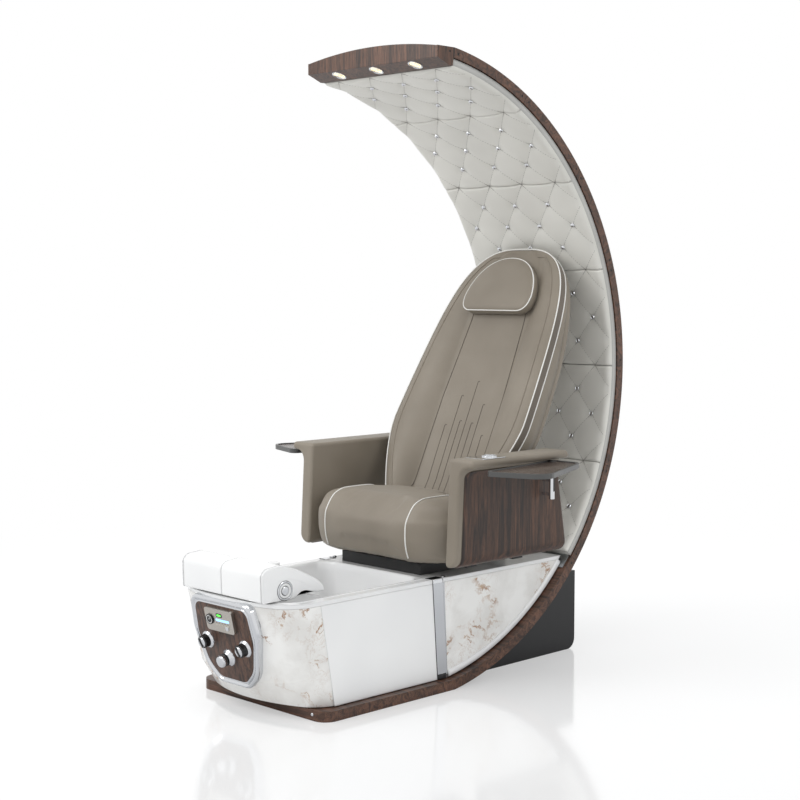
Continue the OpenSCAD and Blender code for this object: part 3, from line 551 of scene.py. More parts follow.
def stretched(tree: Tree, scale: Sequence[float]) -> Node:
    """Object coordinates, stretched by a scale on each axis."""
    place = add(tree, "ShaderNodeTexCoord")
    return add(tree, "ShaderNodeMapping", {"Scale": tuple(scale)}, {"Vector": (place, "Object")})


@dataclass(frozen=True)
class WalnutVeneer(Finish):
    """Walnut veneer under satin lacquer: dark open pores and slow colour bands, with a soft sheen."""

    title: str = "walnut veneer"
    grain: Grain = Grain.UP
    light: str = "#74513f"
    middle: str = "#583e30"
    dark: str = "#33231b"
    figure_mm: float = 26.0
    # Real pores are 0.2 mm wide; they are drawn at 2.2 mm so that they show.
    pore_mm: float = 2.2

    def shade(self, tree: Tree) -> Node:
        """Builds bands of colour, fine pores and a lacquered shader.

        Args:
            tree: the node tree.

        Returns:
            The shader.
        """
        place = stretched(tree, self.grain.value)
        bend = add(tree, "ShaderNodeTexNoise", {"Scale": 9.0, "Detail": 3.0, "Distortion": 0.6}, {"Vector": (place, 0)})
        figure = add(tree, "ShaderNodeTexNoise", {"Scale": 1 / (self.figure_mm * MM), "Detail": 5.0, "Roughness": 0.6,
                                                  "Distortion": 2.4}, {"Vector": (place, 0)})
        pores = add(tree, "ShaderNodeTexNoise", {"Scale": 1 / (self.pore_mm * MM), "Detail": 3.0, "Roughness": 0.7},
                    {"Vector": (place, 0)})
        colour = ramp(tree, (figure, 0), [(0.36, self.dark), (0.5, self.middle), (0.66, self.light)])
        fine = ramp(tree, (pores, 0), [(0.36, "#8c8682"), (0.52, "#ffffff")])
        slow = ramp(tree, (bend, 0), [(0.3, "#d4d0cd"), (0.7, "#ffffff")])
        first = add(tree, "ShaderNodeMix", {0: 0.75}, {6: (colour, 0), 7: (fine, 0)}, data_type="RGBA",
                    blend_type="MULTIPLY")
        both = add(tree, "ShaderNodeMix", {0: 1.0}, {6: (first, 2), 7: (slow, 0)}, data_type="RGBA",
                   blend_type="MULTIPLY")
        round_edge = add(tree, "ShaderNodeBevel", {"Radius": 0.0015}, samples=4)
        bump = add(tree, "ShaderNodeBump", {"Strength": 0.12, "Distance": 0.0004},
                   {"Height": (pores, 0), "Normal": (round_edge, 0)})
        return add(tree, "ShaderNodeBsdfPrincipled", {"Roughness": 0.42, "IOR": 1.45, "Coat Weight": 0.1,
                                                      "Coat Roughness": 0.25},
                   {"Base Color": (both, 2), "Normal": (bump, 0)})


@dataclass(frozen=True)
class Leather(Finish):
    """Corrected-grain upholstery leather: pebbled, matte, with slow tone changes where it is stretched."""

    title: str = "taupe leather"
    colour: str = "#898073"
    shade_colour: str = "#7f7669"
    roughness: float = 0.52
    # Real grain pebbles are about 1 mm; they are drawn at 2 mm so that they show.
    pebble_mm: float = 2.0
    relief: float = 0.16

    def shade(self, tree: Tree) -> Node:
        """Builds the pebble relief, the tone changes and a matte shader.

        Args:
            tree: the node tree.

        Returns:
            The shader.
        """
        place = stretched(tree, (1, 1, 1))
        pebbles = add(tree, "ShaderNodeTexVoronoi", {"Scale": 1 / (self.pebble_mm * MM)}, {"Vector": (place, 0)},
                      feature="SMOOTH_F1")
        folds = add(tree, "ShaderNodeTexNoise", {"Scale": 1 / (40 * MM), "Detail": 4.0, "Distortion": 0.4},
                    {"Vector": (place, 0)})
        slow = add(tree, "ShaderNodeTexNoise", {"Scale": 1 / (220 * MM), "Detail": 2.0}, {"Vector": (place, 0)})
        tone = ramp(tree, (slow, 0), [(0.35, self.shade_colour), (0.65, self.colour)])
        rough = add(tree, "ShaderNodeMapRange", {3: self.roughness - 0.06, 4: self.roughness + 0.08}, {0: (folds, 0)})
        soft = add(tree, "ShaderNodeBump", {"Strength": 0.22, "Distance": 0.003}, {"Height": (folds, 0)})
        bump = add(tree, "ShaderNodeBump", {"Strength": self.relief, "Distance": 0.0006},
                   {"Height": (pebbles, 0), "Normal": (soft, 0)})
        return add(tree, "ShaderNodeBsdfPrincipled", {"IOR": 1.46, "Sheen Weight": 0.08},
                   {"Base Color": (tone, 0), "Roughness": (rough, 0), "Normal": (bump, 0)})


@dataclass(frozen=True)
class GlossShell(Finish):
    """Vacuum-formed acrylic: bright, faintly wavy and glossy, with soft edges."""

    title: str = "white acrylic"
    colour: str = "#f2f2f1"
    tint: str = "#e9e9e9"
    roughness: float = 0.14
    edge: float = 0.006

    def shade(self, tree: Tree) -> Node:
        """Builds a slow ripple, a faint tone change and a glossy shader.

        Args:
            tree: the node tree.

        Returns:
            The shader.
        """
        place = stretched(tree, (1, 1, 1))
        slow = add(tree, "ShaderNodeTexNoise", {"Scale": 1 / (300 * MM), "Detail": 1.0}, {"Vector": (place, 0)})
        fine = add(tree, "ShaderNodeTexNoise", {"Scale": 1 / (3 * MM), "Detail": 2.0}, {"Vector": (place, 0)})
        tone = ramp(tree, (slow, 0), [(0.3, self.tint), (0.7, self.colour)])
        round_edge = add(tree, "ShaderNodeBevel", {"Radius": self.edge}, samples=6)
        bump = add(tree, "ShaderNodeBump", {"Strength": 0.02, "Distance": 0.0004},
                   {"Height": (fine, 0), "Normal": (round_edge, 0)})
        return add(tree, "ShaderNodeBsdfPrincipled", {"Roughness": self.roughness, "IOR": 1.49, "Coat Weight": 0.3,
                                                      "Coat Roughness": 0.05},
                   {"Base Color": (tone, 0), "Normal": (bump, 0)})


@dataclass(frozen=True)
class MarbleLaminate(Finish):
    """High-pressure laminate with a marble pattern: white ground, grey clouds and broken tan veins."""

    title: str = "marble laminate"
    ground: str = "#f1f0ed"
    cloud: str = "#e2e0dc"
    vein: str = "#9a6d47"
    vein_soft: str = "#c2a78e"

    def shade(self, tree: Tree) -> Node:
        """Builds clouds, a vein net that fades in and out, and a glossy shader.

        Args:
            tree: the node tree.

        Returns:
            The shader.
        """
        place = stretched(tree, (1, 1, 1))
        warp = add(tree, "ShaderNodeTexNoise", {"Scale": 1 / (110 * MM), "Detail": 7.0, "Roughness": 0.6},
                   {"Vector": (place, 0)})
        shift = add(tree, "ShaderNodeVectorMath", {1: (0.11, 0.11, 0.11)}, {0: (warp, "Color")}, operation="MULTIPLY")
        moved = add(tree, "ShaderNodeVectorMath", {}, {0: (place, 0), 1: (shift, 0)}, operation="ADD")
        crack = add(tree, "ShaderNodeTexNoise", {"Scale": 1 / (210 * MM), "Detail": 10.0, "Roughness": 0.62,
                                                 "Distortion": 0.5},
                    {"Vector": (moved, 0)})
        crumb = add(tree, "ShaderNodeTexNoise", {"Scale": 1 / (60 * MM), "Detail": 9.0, "Roughness": 0.7,
                                                 "Distortion": 1.0},
                    {"Vector": (moved, 0)})
        clouds = add(tree, "ShaderNodeTexNoise", {"Scale": 1 / (150 * MM), "Detail": 5.0}, {"Vector": (moved, 0)})
        patch = add(tree, "ShaderNodeTexNoise", {"Scale": 1 / (170 * MM), "Detail": 3.0}, {"Vector": (place, 0)})
        ground = ramp(tree, (clouds, 0), [(0.36, self.cloud), (0.56, self.ground)])
        line = ramp(tree, (crack, 0), [(0.478, "#000000"), (0.496, "#ffffff"), (0.504, "#ffffff"), (0.514, "#585858"),
                                       (0.56, "#000000")])
        crumbs = ramp(tree, (crumb, 0), [(0.478, "#000000"), (0.5, "#c0c0c0"), (0.522, "#000000")])
        where = ramp(tree, (patch, 0), [(0.42, "#000000"), (0.54, "#ffffff")])
        where_less = ramp(tree, (patch, 0), [(0.48, "#000000"), (0.62, "#e8e8e8")])
        lines = add(tree, "ShaderNodeMix", {0: 1.0}, {6: (line, 0), 7: (where, 0)}, data_type="RGBA",
                    blend_type="MULTIPLY")
        bits = add(tree, "ShaderNodeMix", {0: 1.0}, {6: (crumbs, 0), 7: (where_less, 0)}, data_type="RGBA",
                   blend_type="MULTIPLY")
        strength = add(tree, "ShaderNodeMix", {0: 1.0}, {6: (lines, 2), 7: (bits, 2)}, data_type="RGBA",
                       blend_type="LIGHTEN")
        tone = ramp(tree, (crumb, 0), [(0.40, self.vein_soft), (0.58, self.vein)])
        mixed = add(tree, "ShaderNodeMix", {}, {0: (strength, 2), 6: (ground, 0), 7: (tone, 0)}, data_type="RGBA")
        round_edge = add(tree, "ShaderNodeBevel", {"Radius": 0.003}, samples=4)
        return add(tree, "ShaderNodeBsdfPrincipled", {"Roughness": 0.16, "IOR": 1.5, "Coat Weight": 0.3,
                                                      "Coat Roughness": 0.06},
                   {"Base Color": (mixed, 2), "Normal": (round_edge, 0)})


@dataclass(frozen=True)
class Metal(Finish):
    """Metal, plated or brushed: mirror-like with a faint drift in its polish."""

    title: str = "polished chrome"
    colour: str = "#d4d6d9"
    roughness: float = 0.05
    brushed: bool = False
    edge: float = 0.001

    def shade(self, tree: Tree) -> Node:
        """Builds the polish marks and a metal shader.

        Args:
            tree: the node tree.

        Returns:
            The shader.
        """
        place = stretched(tree, (1, 1, 0.04) if self.brushed else (1, 1, 1))
        marks = add(tree, "ShaderNodeTexNoise", {"Scale": 1 / ((1.5 if self.brushed else 8) * MM), "Detail": 3.0},
                    {"Vector": (place, 0)})
        rough = add(tree, "ShaderNodeMapRange", {3: self.roughness * 0.8, 4: self.roughness * 1.5}, {0: (marks, 0)})
        round_edge = add(tree, "ShaderNodeBevel", {"Radius": self.edge}, samples=4)
        bump = add(tree, "ShaderNodeBump", {"Strength": 0.08 if self.brushed else 0.01, "Distance": 0.0003},
                   {"Height": (marks, 0), "Normal": (round_edge, 0)})
        return add(tree, "ShaderNodeBsdfPrincipled", {"Base Color": linear(self.colour), "Metallic": 1.0},
                   {"Roughness": (rough, 0), "Normal": (bump, 0)})


@dataclass(frozen=True)
class Moulded(Finish):
    """Moulded or powder-coated plastic: even colour with a fine spark-eroded texture."""

    title: str = "black ABS"
    colour: str = "#232324"
    roughness: float = 0.42
    # The real texture is about 0.1 mm; it is drawn at 1.2 mm so that it shows.
    texture_mm: float = 1.2
    relief: float = 0.1
    edge: float = 0.002

    def shade(self, tree: Tree) -> Node:
        """Builds the fine texture and a plastic shader.

        Args:
            tree: the node tree.

        Returns:
            The shader.
        """
        place = stretched(tree, (1, 1, 1))
        grit = add(tree, "ShaderNodeTexNoise", {"Scale": 1 / (self.texture_mm * MM), "Detail": 2.0},
                   {"Vector": (place, 0)})
        slow = add(tree, "ShaderNodeTexNoise", {"Scale": 1 / (90 * MM), "Detail": 2.0}, {"Vector": (place, 0)})
        rough = add(tree, "ShaderNodeMapRange", {3: self.roughness - 0.05, 4: self.roughness + 0.07}, {0: (slow, 0)})
        round_edge = add(tree, "ShaderNodeBevel", {"Radius": self.edge}, samples=4)
        bump = add(tree, "ShaderNodeBump", {"Strength": self.relief, "Distance": 0.0003},
                   {"Height": (grit, 0), "Normal": (round_edge, 0)})
        return add(tree, "ShaderNodeBsdfPrincipled", {"Base Color": linear(self.colour), "IOR": 1.5},
                   {"Roughness": (rough, 0), "Normal": (bump, 0)})


@dataclass(frozen=True)
class Glowing(Finish):
    """A lit diffuser or display segment: frosted, with a mottled light from behind."""

    title: str = "lamp diffuser"
    colour: str = "#ffdf9e"
    core: str = "#fff6dd"
    strength: float = 1.5

    def shade(self, tree: Tree) -> Node:
        """Builds a mottled glow over a frosted base.

        Args:
            tree: the node tree.

        Returns:
            The shader.
        """
        place = stretched(tree, (1, 1, 1))
        mottle = add(tree, "ShaderNodeTexNoise", {"Scale": 1 / (6 * MM), "Detail": 2.0}, {"Vector": (place, 0)})
        glow = ramp(tree, (mottle, 0), [(0.3, self.colour), (0.7, self.core)])
        return add(tree, "ShaderNodeBsdfPrincipled", {"Base Color": linear(self.colour), "Roughness": 0.3,
                                                      "Emission Strength": self.strength},
                                                      {"Emission Color": (glow, 0)})


WALNUT_UP = WalnutVeneer()
WALNUT_ALONG = WalnutVeneer("walnut strap veneer", Grain.ACROSS, "#7a5542", "#5e4233", "#3b2920", figure_mm=34)
WALNUT_FACE = WalnutVeneer("walnut panel veneer", Grain.UP, "#6a4936", "#4a3326", "#241812", figure_mm=40)
VINYL = Leather("white vinyl", "#dddbd4", "#d5d3cc", 0.38, 1.6, 0.04)
# A darker copy of the white vinyl: painted shade for the liner's tufting creases and panel joints.
VINYL_CREASE_SHADE = Leather("vinyl crease shade", "#a3a09a", "#979490", 0.6, 1.2, 0.2)
# A darker copy of the white vinyl: painted shade on the liner's folded side edges.
VINYL_EDGE_SHADE = Leather("vinyl edge shade", "#bdbcb8", "#b1b0ac", 0.5, 1.6, 0.06)
TAUPE = Leather()
# A darker copy of the taupe leather: painted shade in the back's seams and in the gap round the arm veneer.
SEAM_SHADE = Leather("leather seam shade", "#5b5349", "#50483f", 0.7, 1.2, 0.2)
PIPING = Leather("pale piping", "#efeeea", "#e6e4df", 0.4, 1.2, 0.08)
TAUPE_EDGE = Leather("dark border leather", "#6b6258", "#61594f")
ACRYLIC = GlossShell()
MARBLE = MarbleLaminate()
CHROME = Metal()
BRUSHED = Metal("brushed steel", "#a8abad", 0.3, True)
NICKEL = Metal("satin nickel", "#bdb8b0", 0.26, True)
BLACK_COAT = Moulded("black powder coat", "#161617", 0.5, 0.9, 0.2)
BLACK_ABS = Moulded()
GRIP = Moulded("black grip", "#121213", 0.3, 0.8, 0.06)
GRAPHITE = Moulded("graphite plastic", "#4b4b4a", 0.34, 1.0, 0.06)
SMOKED = Moulded("smoked tray inlay", "#4f443e", 0.24, 1.0, 0.03)
CHAMPAGNE = Moulded("champagne plastic", "#c5bfb3", 0.3, 1.0, 0.03)
INK = Moulded("panel ink", "#3c3a38", 0.6, 1.0, 0.02, 0.0002)
PALE_INK = Moulded("pale dial ink", "#e8e8e6", 0.5, 1.0, 0.02, 0.0002)
LAMP = Glowing()
GREEN_LED = Glowing("green display", "#5cff4a", "#5cff4a", 1.2)
BLUE_LED = Glowing("blue display", "#8cc4ff", "#b9dcff", 0.9)


def fit(piece: Piece, finish: Finish, body: str) -> Piece:
    """Dresses a new piece and sets the body it rides on.

    Args:
        piece: the piece, in place.
        finish: its finish.
        body: the body it moves with.

    Returns:
        The piece.
    """
    piece.data.materials.clear()
    piece.data.materials.append(finish.material())
    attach(piece, body)
    log.info("piece %s rides on %s", piece.name, body)
    return piece


def dress(nodes: dict[str, Piece], names: Iterable[str], finish: Finish) -> None:
    """Gives carried-over CAD nodes a finish.

    Args:
        nodes: the CAD nodes by name.
        names: the nodes to dress.
        finish: their finish.
    """
    for name in names:
        piece = nodes[name]
        piece.data.materials.clear()
        piece.data.materials.append(finish.material())
        log.info("node %s dressed with %s", name, finish.title)


# ---- sub-assemblies ----


@dataclass
class Arch:
    """The veneered strap, its base, its light bar, and the tufted liner with its buttons."""

    nodes: dict[str, Piece]
    half: float = 0.3165
    pitch: float = 0.161
    tuft: float = 0.014
    dimple_r: float = 0.024
    dimple: float = 0.6
    row_len: float = 0.093
    button_sink: float = 0.002
    rows: int = 4
    cells: int = 12
    panels: int = 6

    def relief(self, x: float, row: float) -> float:
        """Height of the padding at x, row half-pitches along the panel.

        Args:
            x: distance across the liner.
            row: rows of buttons from the panel's upper joint.

        Returns:
            The height above the panel's lowest face.
        """
        u, v = x / self.pitch + row / 2 + 0.5, x / self.pitch - row / 2 + 0.5
        pillow = abs(math.sin(math.pi * u) * math.sin(math.pi * v))
        near_u, near_v = abs(u - round(u)), abs(v - round(v))
        away = math.hypot((near_u + near_v) * self.pitch / 2, (near_u - near_v) * self.pitch / 2)
        dimple = math.exp(-(away / self.dimple_r) ** 2)
        ends = min(1.0, min(row, self.rows - row) * self.row_len / 0.012)
        edge = min(1.0, (self.half - abs(x)) / 0.02)
        body = self.tuft * (0.70 + 0.30 * pillow ** 0.5) * (1 - self.dimple * dimple)
        return body * (0.82 + 0.18 * ends ** 0.5) * max(0.0, edge) ** 0.4

    def panel(self, number: int) -> Piece:
        """One tufted liner panel, numbered from the light bar.

        Args:
            number: 0 for the panel beside the light bar.

        Returns:
            The panel.
        """
        start = AT.first_joint + number * AT.segment_angle + 0.08
        span = AT.segment_angle - 0.16
        step = self.pitch / 2 / self.cells
        whole = int((self.half - 0.003) / step)
        xs = [-self.half, -self.half] + [k * step for k in range(-whole, whole + 1)] + [self.half, self.half]
        count = self.rows * self.cells
        points: list[Point] = []
        for j in range(-1, count + 2):
            for i, x in enumerate(xs):
                low = i in (0, len(xs) - 1) or j in (-1, count + 1)
                row = min(max(j, 0), count) / self.cells
                r = AT.liner_back_r if low else AT.liner_face_r - self.relief(x, row)
                points.append(AT.on_arch(x, r, start + span * row / self.rows))
        wide = len(xs)
        faces: list[Sequence[int]] = []
        for j in range(count + 2):
            for i in range(wide - 1):
                a = j * wide + i
                b, c, d = a + 1, a + wide + 1, a + wide
                column = int(math.floor((xs[i] + xs[i + 1]) / 2 / (self.pitch / 2)))
                rising = (column + (j - 1) // self.cells) % 2 == 0
                faces += [(a, b, c), (a, c, d)] if rising else [(a, b, d), (b, c, d)]
        return fit(new_mesh(f"tufted_liner_{number + 1}", points, faces), VINYL, "base")

    def seams(self) -> Piece:
        """Dark lines painted as shade in the creases that run from button to button and in the joints between panels.

        Returns:
            The painted crease lines, joined.
        """
        # Thin darker tubes painted as shade along the tufting creases.
        lines = []
        for number in range(self.panels):
            start = AT.first_joint + number * AT.segment_angle
            for slope in (-1, 1):
                for k in range(-6, 7):
                    path = []
                    for step in range(25):
                        row = self.rows * step / 24
                        x = (k + slope * row / 2 + 0.5) * self.pitch
                        if abs(x) < self.half - 0.004:
                            r = AT.liner_face_r - self.relief(x, min(max(row, 0.03), self.rows - 0.03)) - 0.0002
                            path.append(AT.on_arch(x, r, start + AT.segment_angle * row / self.rows))
                    if len(path) > 2:
                        lines.append(tube("seam", path, 0.0009, sides=5))
        # Tubes each side of the panel joints, painted as shade in the joints' grooves.
        for joint in range(self.panels + 1):
            for gap in ((-0.0025, 0.0025) if 0 < joint < self.panels else (0.0,)):
                a = AT.first_joint + joint * AT.segment_angle + math.degrees(gap / AT.liner_face_r)
                ends = [AT.on_arch(x, AT.liner_face_r - 0.0006, a) for x in np.linspace(-self.half, self.half, 9)]
                lines.append(tube("seam", ends, 0.0010, sides=5))
        return fit(join("liner_crease_shade", lines), VINYL_CREASE_SHADE, "base")

    def buttons(self) -> Piece:
        """Faceted chrome buttons at the tufts.

        Returns:
            The buttons, joined.
        """
        facets = [(0.0088, -0.002), (0.0094, 0.001), (0.0074, 0.0048), (0.0036, 0.0066), (0.0004, 0.0070)]
        made = []
        for number in range(self.panels):
            for row in range(1, self.rows):
                angle = AT.first_joint + (number + row / self.rows) * AT.segment_angle
                places = (-1, 0, 1) if row % 2 else (-1.5, -0.5, 0.5, 1.5)
                for k in places:
                    x = k * self.pitch
                    r = AT.liner_face_r - self.relief(x, row) - self.button_sink
                    turn = (Matrix.Translation(AT.on_arch(x, r, angle)) @ Matrix.Rotation(math.radians(-angle), 4, "X")
                            @ Matrix.Rotation(math.pi, 4, "X"))
                    made.append(lathe("button", facets, turn, 10))
        return fit(join("liner_buttons", made), CHROME, "base")

    def edges(self) -> None:
        """The liner's folded side edges beside the strap, in a darker vinyl that paints the shade of the recess."""
        steps = 120
        fold = ((-0.003, 0.0018), (0.0012, 0.003), (0.0022, 0.013), (0.0018, 0.024), (-0.003, 0.024))
        for side in (-1, 1):
            rings = []
            for step in range(steps + 1):
                a = AT.first_joint + self.panels * AT.segment_angle * step / steps
                x = side * (self.half + 0.0005)
                rings.append([AT.on_arch(x + side * dx, AT.liner_face_r + dr, a) for dx, dr in fold])
            # The folded edge takes the darker vinyl as painted shade.
            fit(lofted(f"liner_edge_{side_name(side)}", rings), VINYL_EDGE_SHADE, "base")

    def lamps(self) -> None:
        """Lit diffusers and bright bezels under the light bar."""
        y1 = AT.arch_y + AT.arch_r * math.sin(math.radians(AT.first_joint))
        z1 = AT.arch_z + AT.arch_r * math.cos(math.radians(AT.first_joint)) - 0.038
        y0 = y1 - 0.083
        ly = AT.arch_y + AT.liner_face_r * math.sin(math.radians(AT.first_joint)) - 0.014
        lz = AT.arch_z + AT.liner_face_r * math.cos(math.radians(AT.first_joint))
        tilt = math.atan2(lz - z1, ly - y0)
        rims, glows = [], []
        for k in (-1, 0, 1):
            place = Matrix.Translation((k * 0.19, (y0 + ly) / 2, (z1 + lz) / 2)) @ Matrix.Rotation(tilt, 4, "X")
            rims.append(lathe("rim", [(0.0262, 0.001), (0.0262, -0.0018), (0.0235, -0.0026), (0.0205, -0.0012),
                                      (0.0195, 0.003)], place))
            for r in (0.0150, 0.0095, 0.0045):
                rims.append(lathe("ring", [(r + 0.0012, 0.003), (r + 0.0012, -0.0008), (r, -0.0016),
                                           (r - 0.0012, -0.0008), (r - 0.0012, 0.003)], place))
            glows.append(lathe("glow", [(0.0196, 0.004), (0.0196, 0.0005), (0.012, -0.0004), (0.0005, -0.001)], place))
        fit(join("lamp_bezels", rims), CHROME, "base")
        fit(join("lamp_glows", glows), LAMP, "base")

    def joints(self) -> None:
        """Thin dark shadow lines where the strap's segments meet, and a bright bolt in the base's nose."""
        lines = []
        for joint in range(self.panels + 1):
            a = AT.first_joint + joint * AT.segment_angle
            for side in (-1, 1):
                x = side * (AT.arch_w / 2 + 0.0001)
                radii = np.linspace(AT.arch_in + 0.001, AT.arch_r - 0.001, 5)
                lines.append(tube("line", [AT.on_arch(x, r, a) for r in radii], 0.0008, sides=5))
        fit(join("strap_joint_lines", lines), BLACK_ABS, "base")
        low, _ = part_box("sled_base")
        place = Matrix.Translation((0.262, low[1] + 0.0005, 0.020)) @ Matrix.Rotation(math.pi / 2, 4, "X")
        fit(lathe("base_bolt", [(0.0058, -0.002), (0.0058, 0.0006), (0.0046, 0.0022), (0.0024, 0.0028),
                                (0.0004, 0.0029)], place, 24), CHROME, "base")

    def build(self) -> None:
        """Builds and dresses the whole arch."""
        dress(self.nodes, ["sled_base", *(f"arch_segment_{i}" for i in range(1, 7))], WALNUT_ALONG)
        dress(self.nodes, ["light_bar"], WALNUT_UP)
        dress(self.nodes, ["joint_screws"], BLACK_COAT)
        dress(self.nodes, ["joint_plates"], BRUSHED)
        dress(self.nodes, ["downlights"], CHROME)
        for number in range(self.panels):
            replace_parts(self.panel(number), f"liner_panel_{number + 1}")
        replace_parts(self.buttons(), "tuft_buttons")
        self.seams()
        self.edges()
        self.lamps()
        self.joints()


@dataclass
class Tub:
    """The gloss tub with its marble front, skirts, trim bands and drain box."""

    nodes: dict[str, Piece]
    band_lean: float = 4.2
    band_w: float = 0.052
    border_in: float = 0.020
    deck_z: float = 0.3725
    foot_z: float = 0.0435

    def band_trim(self, side: int) -> None:
        """The trim band's fold over the rim, dark lines painted as shade along its edges, and its black foot.

        Args:
            side: 1 for the left band, -1 for the right.
        """
        low, high = (Vector(v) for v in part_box("trim_bands"))
        label = side_name(side)
        lean = math.tan(math.radians(self.band_lean))
        wide = high.y - low.y - (high.z - low.z) * lean + 0.0005
        x = side * (AT.half_tub + 0.0012)

        def edge_y(z: float) -> float:
            """Y of the band's front edge at a height."""
            return low.y + (high.z - z) * lean

        over = [(AT.half_tub + 0.0016, high.z - 0.001), (AT.half_tub + 0.0016, AT.rim_z - 0.006),
                (AT.half_tub - 0.0005, AT.rim_z - 0.0008),
                (AT.half_tub - 0.006, AT.rim_z + 0.0012), (AT.half_tub - 0.034, AT.rim_z + 0.0014)]
        under = [(px - 0.0016, pz - 0.0018) for px, pz in over[::-1]]
        rings = [[(side * px, edge_y(pz) + dy, pz) for px, pz in [*over, *under]] for dy in (0.0, self.band_w)]
        fit(crisp(lofted(f"band_fold_{label}", rings), 30), CHROME, "base")
        # Black tubes along the band's two edges: painted shade in the seams between band and tub.
        lines = []
        for dy in (-0.0008, wide - 0.0002):
            path = [(x, edge_y(z) + dy, z) for z in np.linspace(low.z + 0.002, high.z, 8)]
            path += [(side * px, edge_y(pz) + min(dy, self.band_w + 0.0008), pz) for px, pz in over[1:]]
            lines.append(tube("line", path, 0.0010, sides=6))
        fit(join(f"band_edge_shade_{label}", lines), BLACK_ABS, "base")
        foot = [(edge_y(low.z + 0.016) - 0.001, low.z + 0.018), (edge_y(low.z) - 0.001, low.z),
                (edge_y(low.z) + wide - 0.006, low.z),
                (edge_y(low.z + 0.016) + wide - 0.006, low.z + 0.018)]
        turn = Matrix(((0, 0, 1, side * (AT.half_tub + 0.001)), (1, 0, 0, 0), (0, 1, 0, 0), (0, 0, 0, 1)))
        fit(slab(f"band_foot_{label}", foot, -0.001, 0.0014, turn, 0.0005), BLACK_ABS, "base")
        stud = Matrix.Translation((side * (AT.half_tub - 0.012), edge_y(high.z) + wide + 0.016,
                                   AT.rim_z)) @ Matrix.Rotation(side * 0.2, 4, "Y")
        fit(lathe(f"band_stud_{label}", [(0.0085, -0.001), (0.0085, 0.002), (0.0068, 0.0042), (0.0045, 0.0046),
                                         (0.0005, 0.0050)], stud, 32),
            CHROME, "base")

    def arc_border(self, side: int) -> None:
        """The rounded white border along the curved edge of the rear panel, and a dark tube painted as shadow in the
        gap below it.

        Args:
            side: 1 for the left panel, -1 for the right.
        """
        label = side_name(side)
        _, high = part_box("trim_bands")
        reach = AT.arch_in - self.border_in
        first = math.degrees(math.acos(max(-1.0, (self.foot_z - AT.arch_z) / reach)))
        last = math.degrees(math.acos((self.deck_z - AT.arch_z) / reach))
        start = math.degrees(math.asin((high[1] + 0.003 - AT.arch_y) / reach))
        rings, gap = [], []
        for a in np.linspace(max(last, 90.0), min(first, 180 - start) if first > 90 else 180 - start, 70):
            ring = []
            for inset, rise in ((-0.0155, -0.004), (-0.0158, 0.0018), (-0.0125, 0.0042), (-0.004, 0.0048),
                                (0.005, 0.0038), (0.0082, 0.0008), (0.0082, -0.004)):
                ring.append(AT.on_arch(side * (AT.half_tub + rise), reach - inset, a))
            rings.append(ring)
            # A dark line painted as shadow in the gap under the border.
            gap.append(AT.on_arch(side * (AT.half_tub - 0.0035), reach + 0.0180, a))
        fit(lofted(f"panel_border_{label}", rings), ACRYLIC, "base")
        fit(tube(f"panel_gap_shadow_{label}", gap, 0.0022, sides=6), BLACK_ABS, "base")

    def lining(self) -> None:
        """The moulded bowl: a soft lip on the rim, drafted walls, round corners and a dished floor."""
        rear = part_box("jet_cover")[1][1]
        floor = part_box("drain")[1][2] - 0.003
        half, front = AT.half_tub - 0.040, AT.front_y + 0.075

        def ring(inset: float, z: float, corner: float) -> list[Point]:
            """The bowl's plan at a height, drawn in by a distance."""
            x, y0, y1 = half - inset, front + inset, rear - inset
            return [(px, py, z) for px, py in rounded([(-x, y0, 0.05), (x, y0, 0.05), (x, y1, corner),
                                                       (-x, y1, corner)], 10)]

        rim = AT.rim_z
        steps = [(-0.009, rim - 0.0015, 0.012), (-0.008, rim + 0.0012, 0.011), (-0.0005, rim + 0.0018, 0.004),
                 (0.0, rim + 0.0016, 0.055),
                 (0.0035, rim - 0.0005, 0.060), (0.0065, rim - 0.006, 0.060), (0.009, rim - 0.030, 0.062),
                 (0.012, rim - 0.100, 0.064),
                 (0.016, rim - 0.180, 0.066), (0.022, floor + 0.050, 0.068), (0.032, floor + 0.024, 0.066),
                 (0.050, floor + 0.009, 0.056),
                 (0.075, floor + 0.0025, 0.046), (0.110, floor + 0.0008, 0.030)]
        fit(crisp(lofted("bowl_lining", [ring(*step) for step in steps], caps=False), 60), ACRYLIC, "base")

    def build(self) -> None:
        """Dresses the tub's nodes and adds its trim."""
        self.lining()
        dress(self.nodes, ["tub_basin", "deck", "side_skirt_left", "side_skirt_right", "jet_cover", "spray_head"],
              ACRYLIC)
        dress(self.nodes, ["front_wrap", "rear_panel_left", "rear_panel_right"], MARBLE)
        dress(self.nodes, ["trim_bands", "drain", "spray_holder"], CHROME)
        dress(self.nodes, ["chassis"], BLACK_COAT)
        dress(self.nodes, ["pump_housing"], BLACK_ABS)
        for side in (-1, 1):
            self.band_trim(side)
            self.arc_border(side)


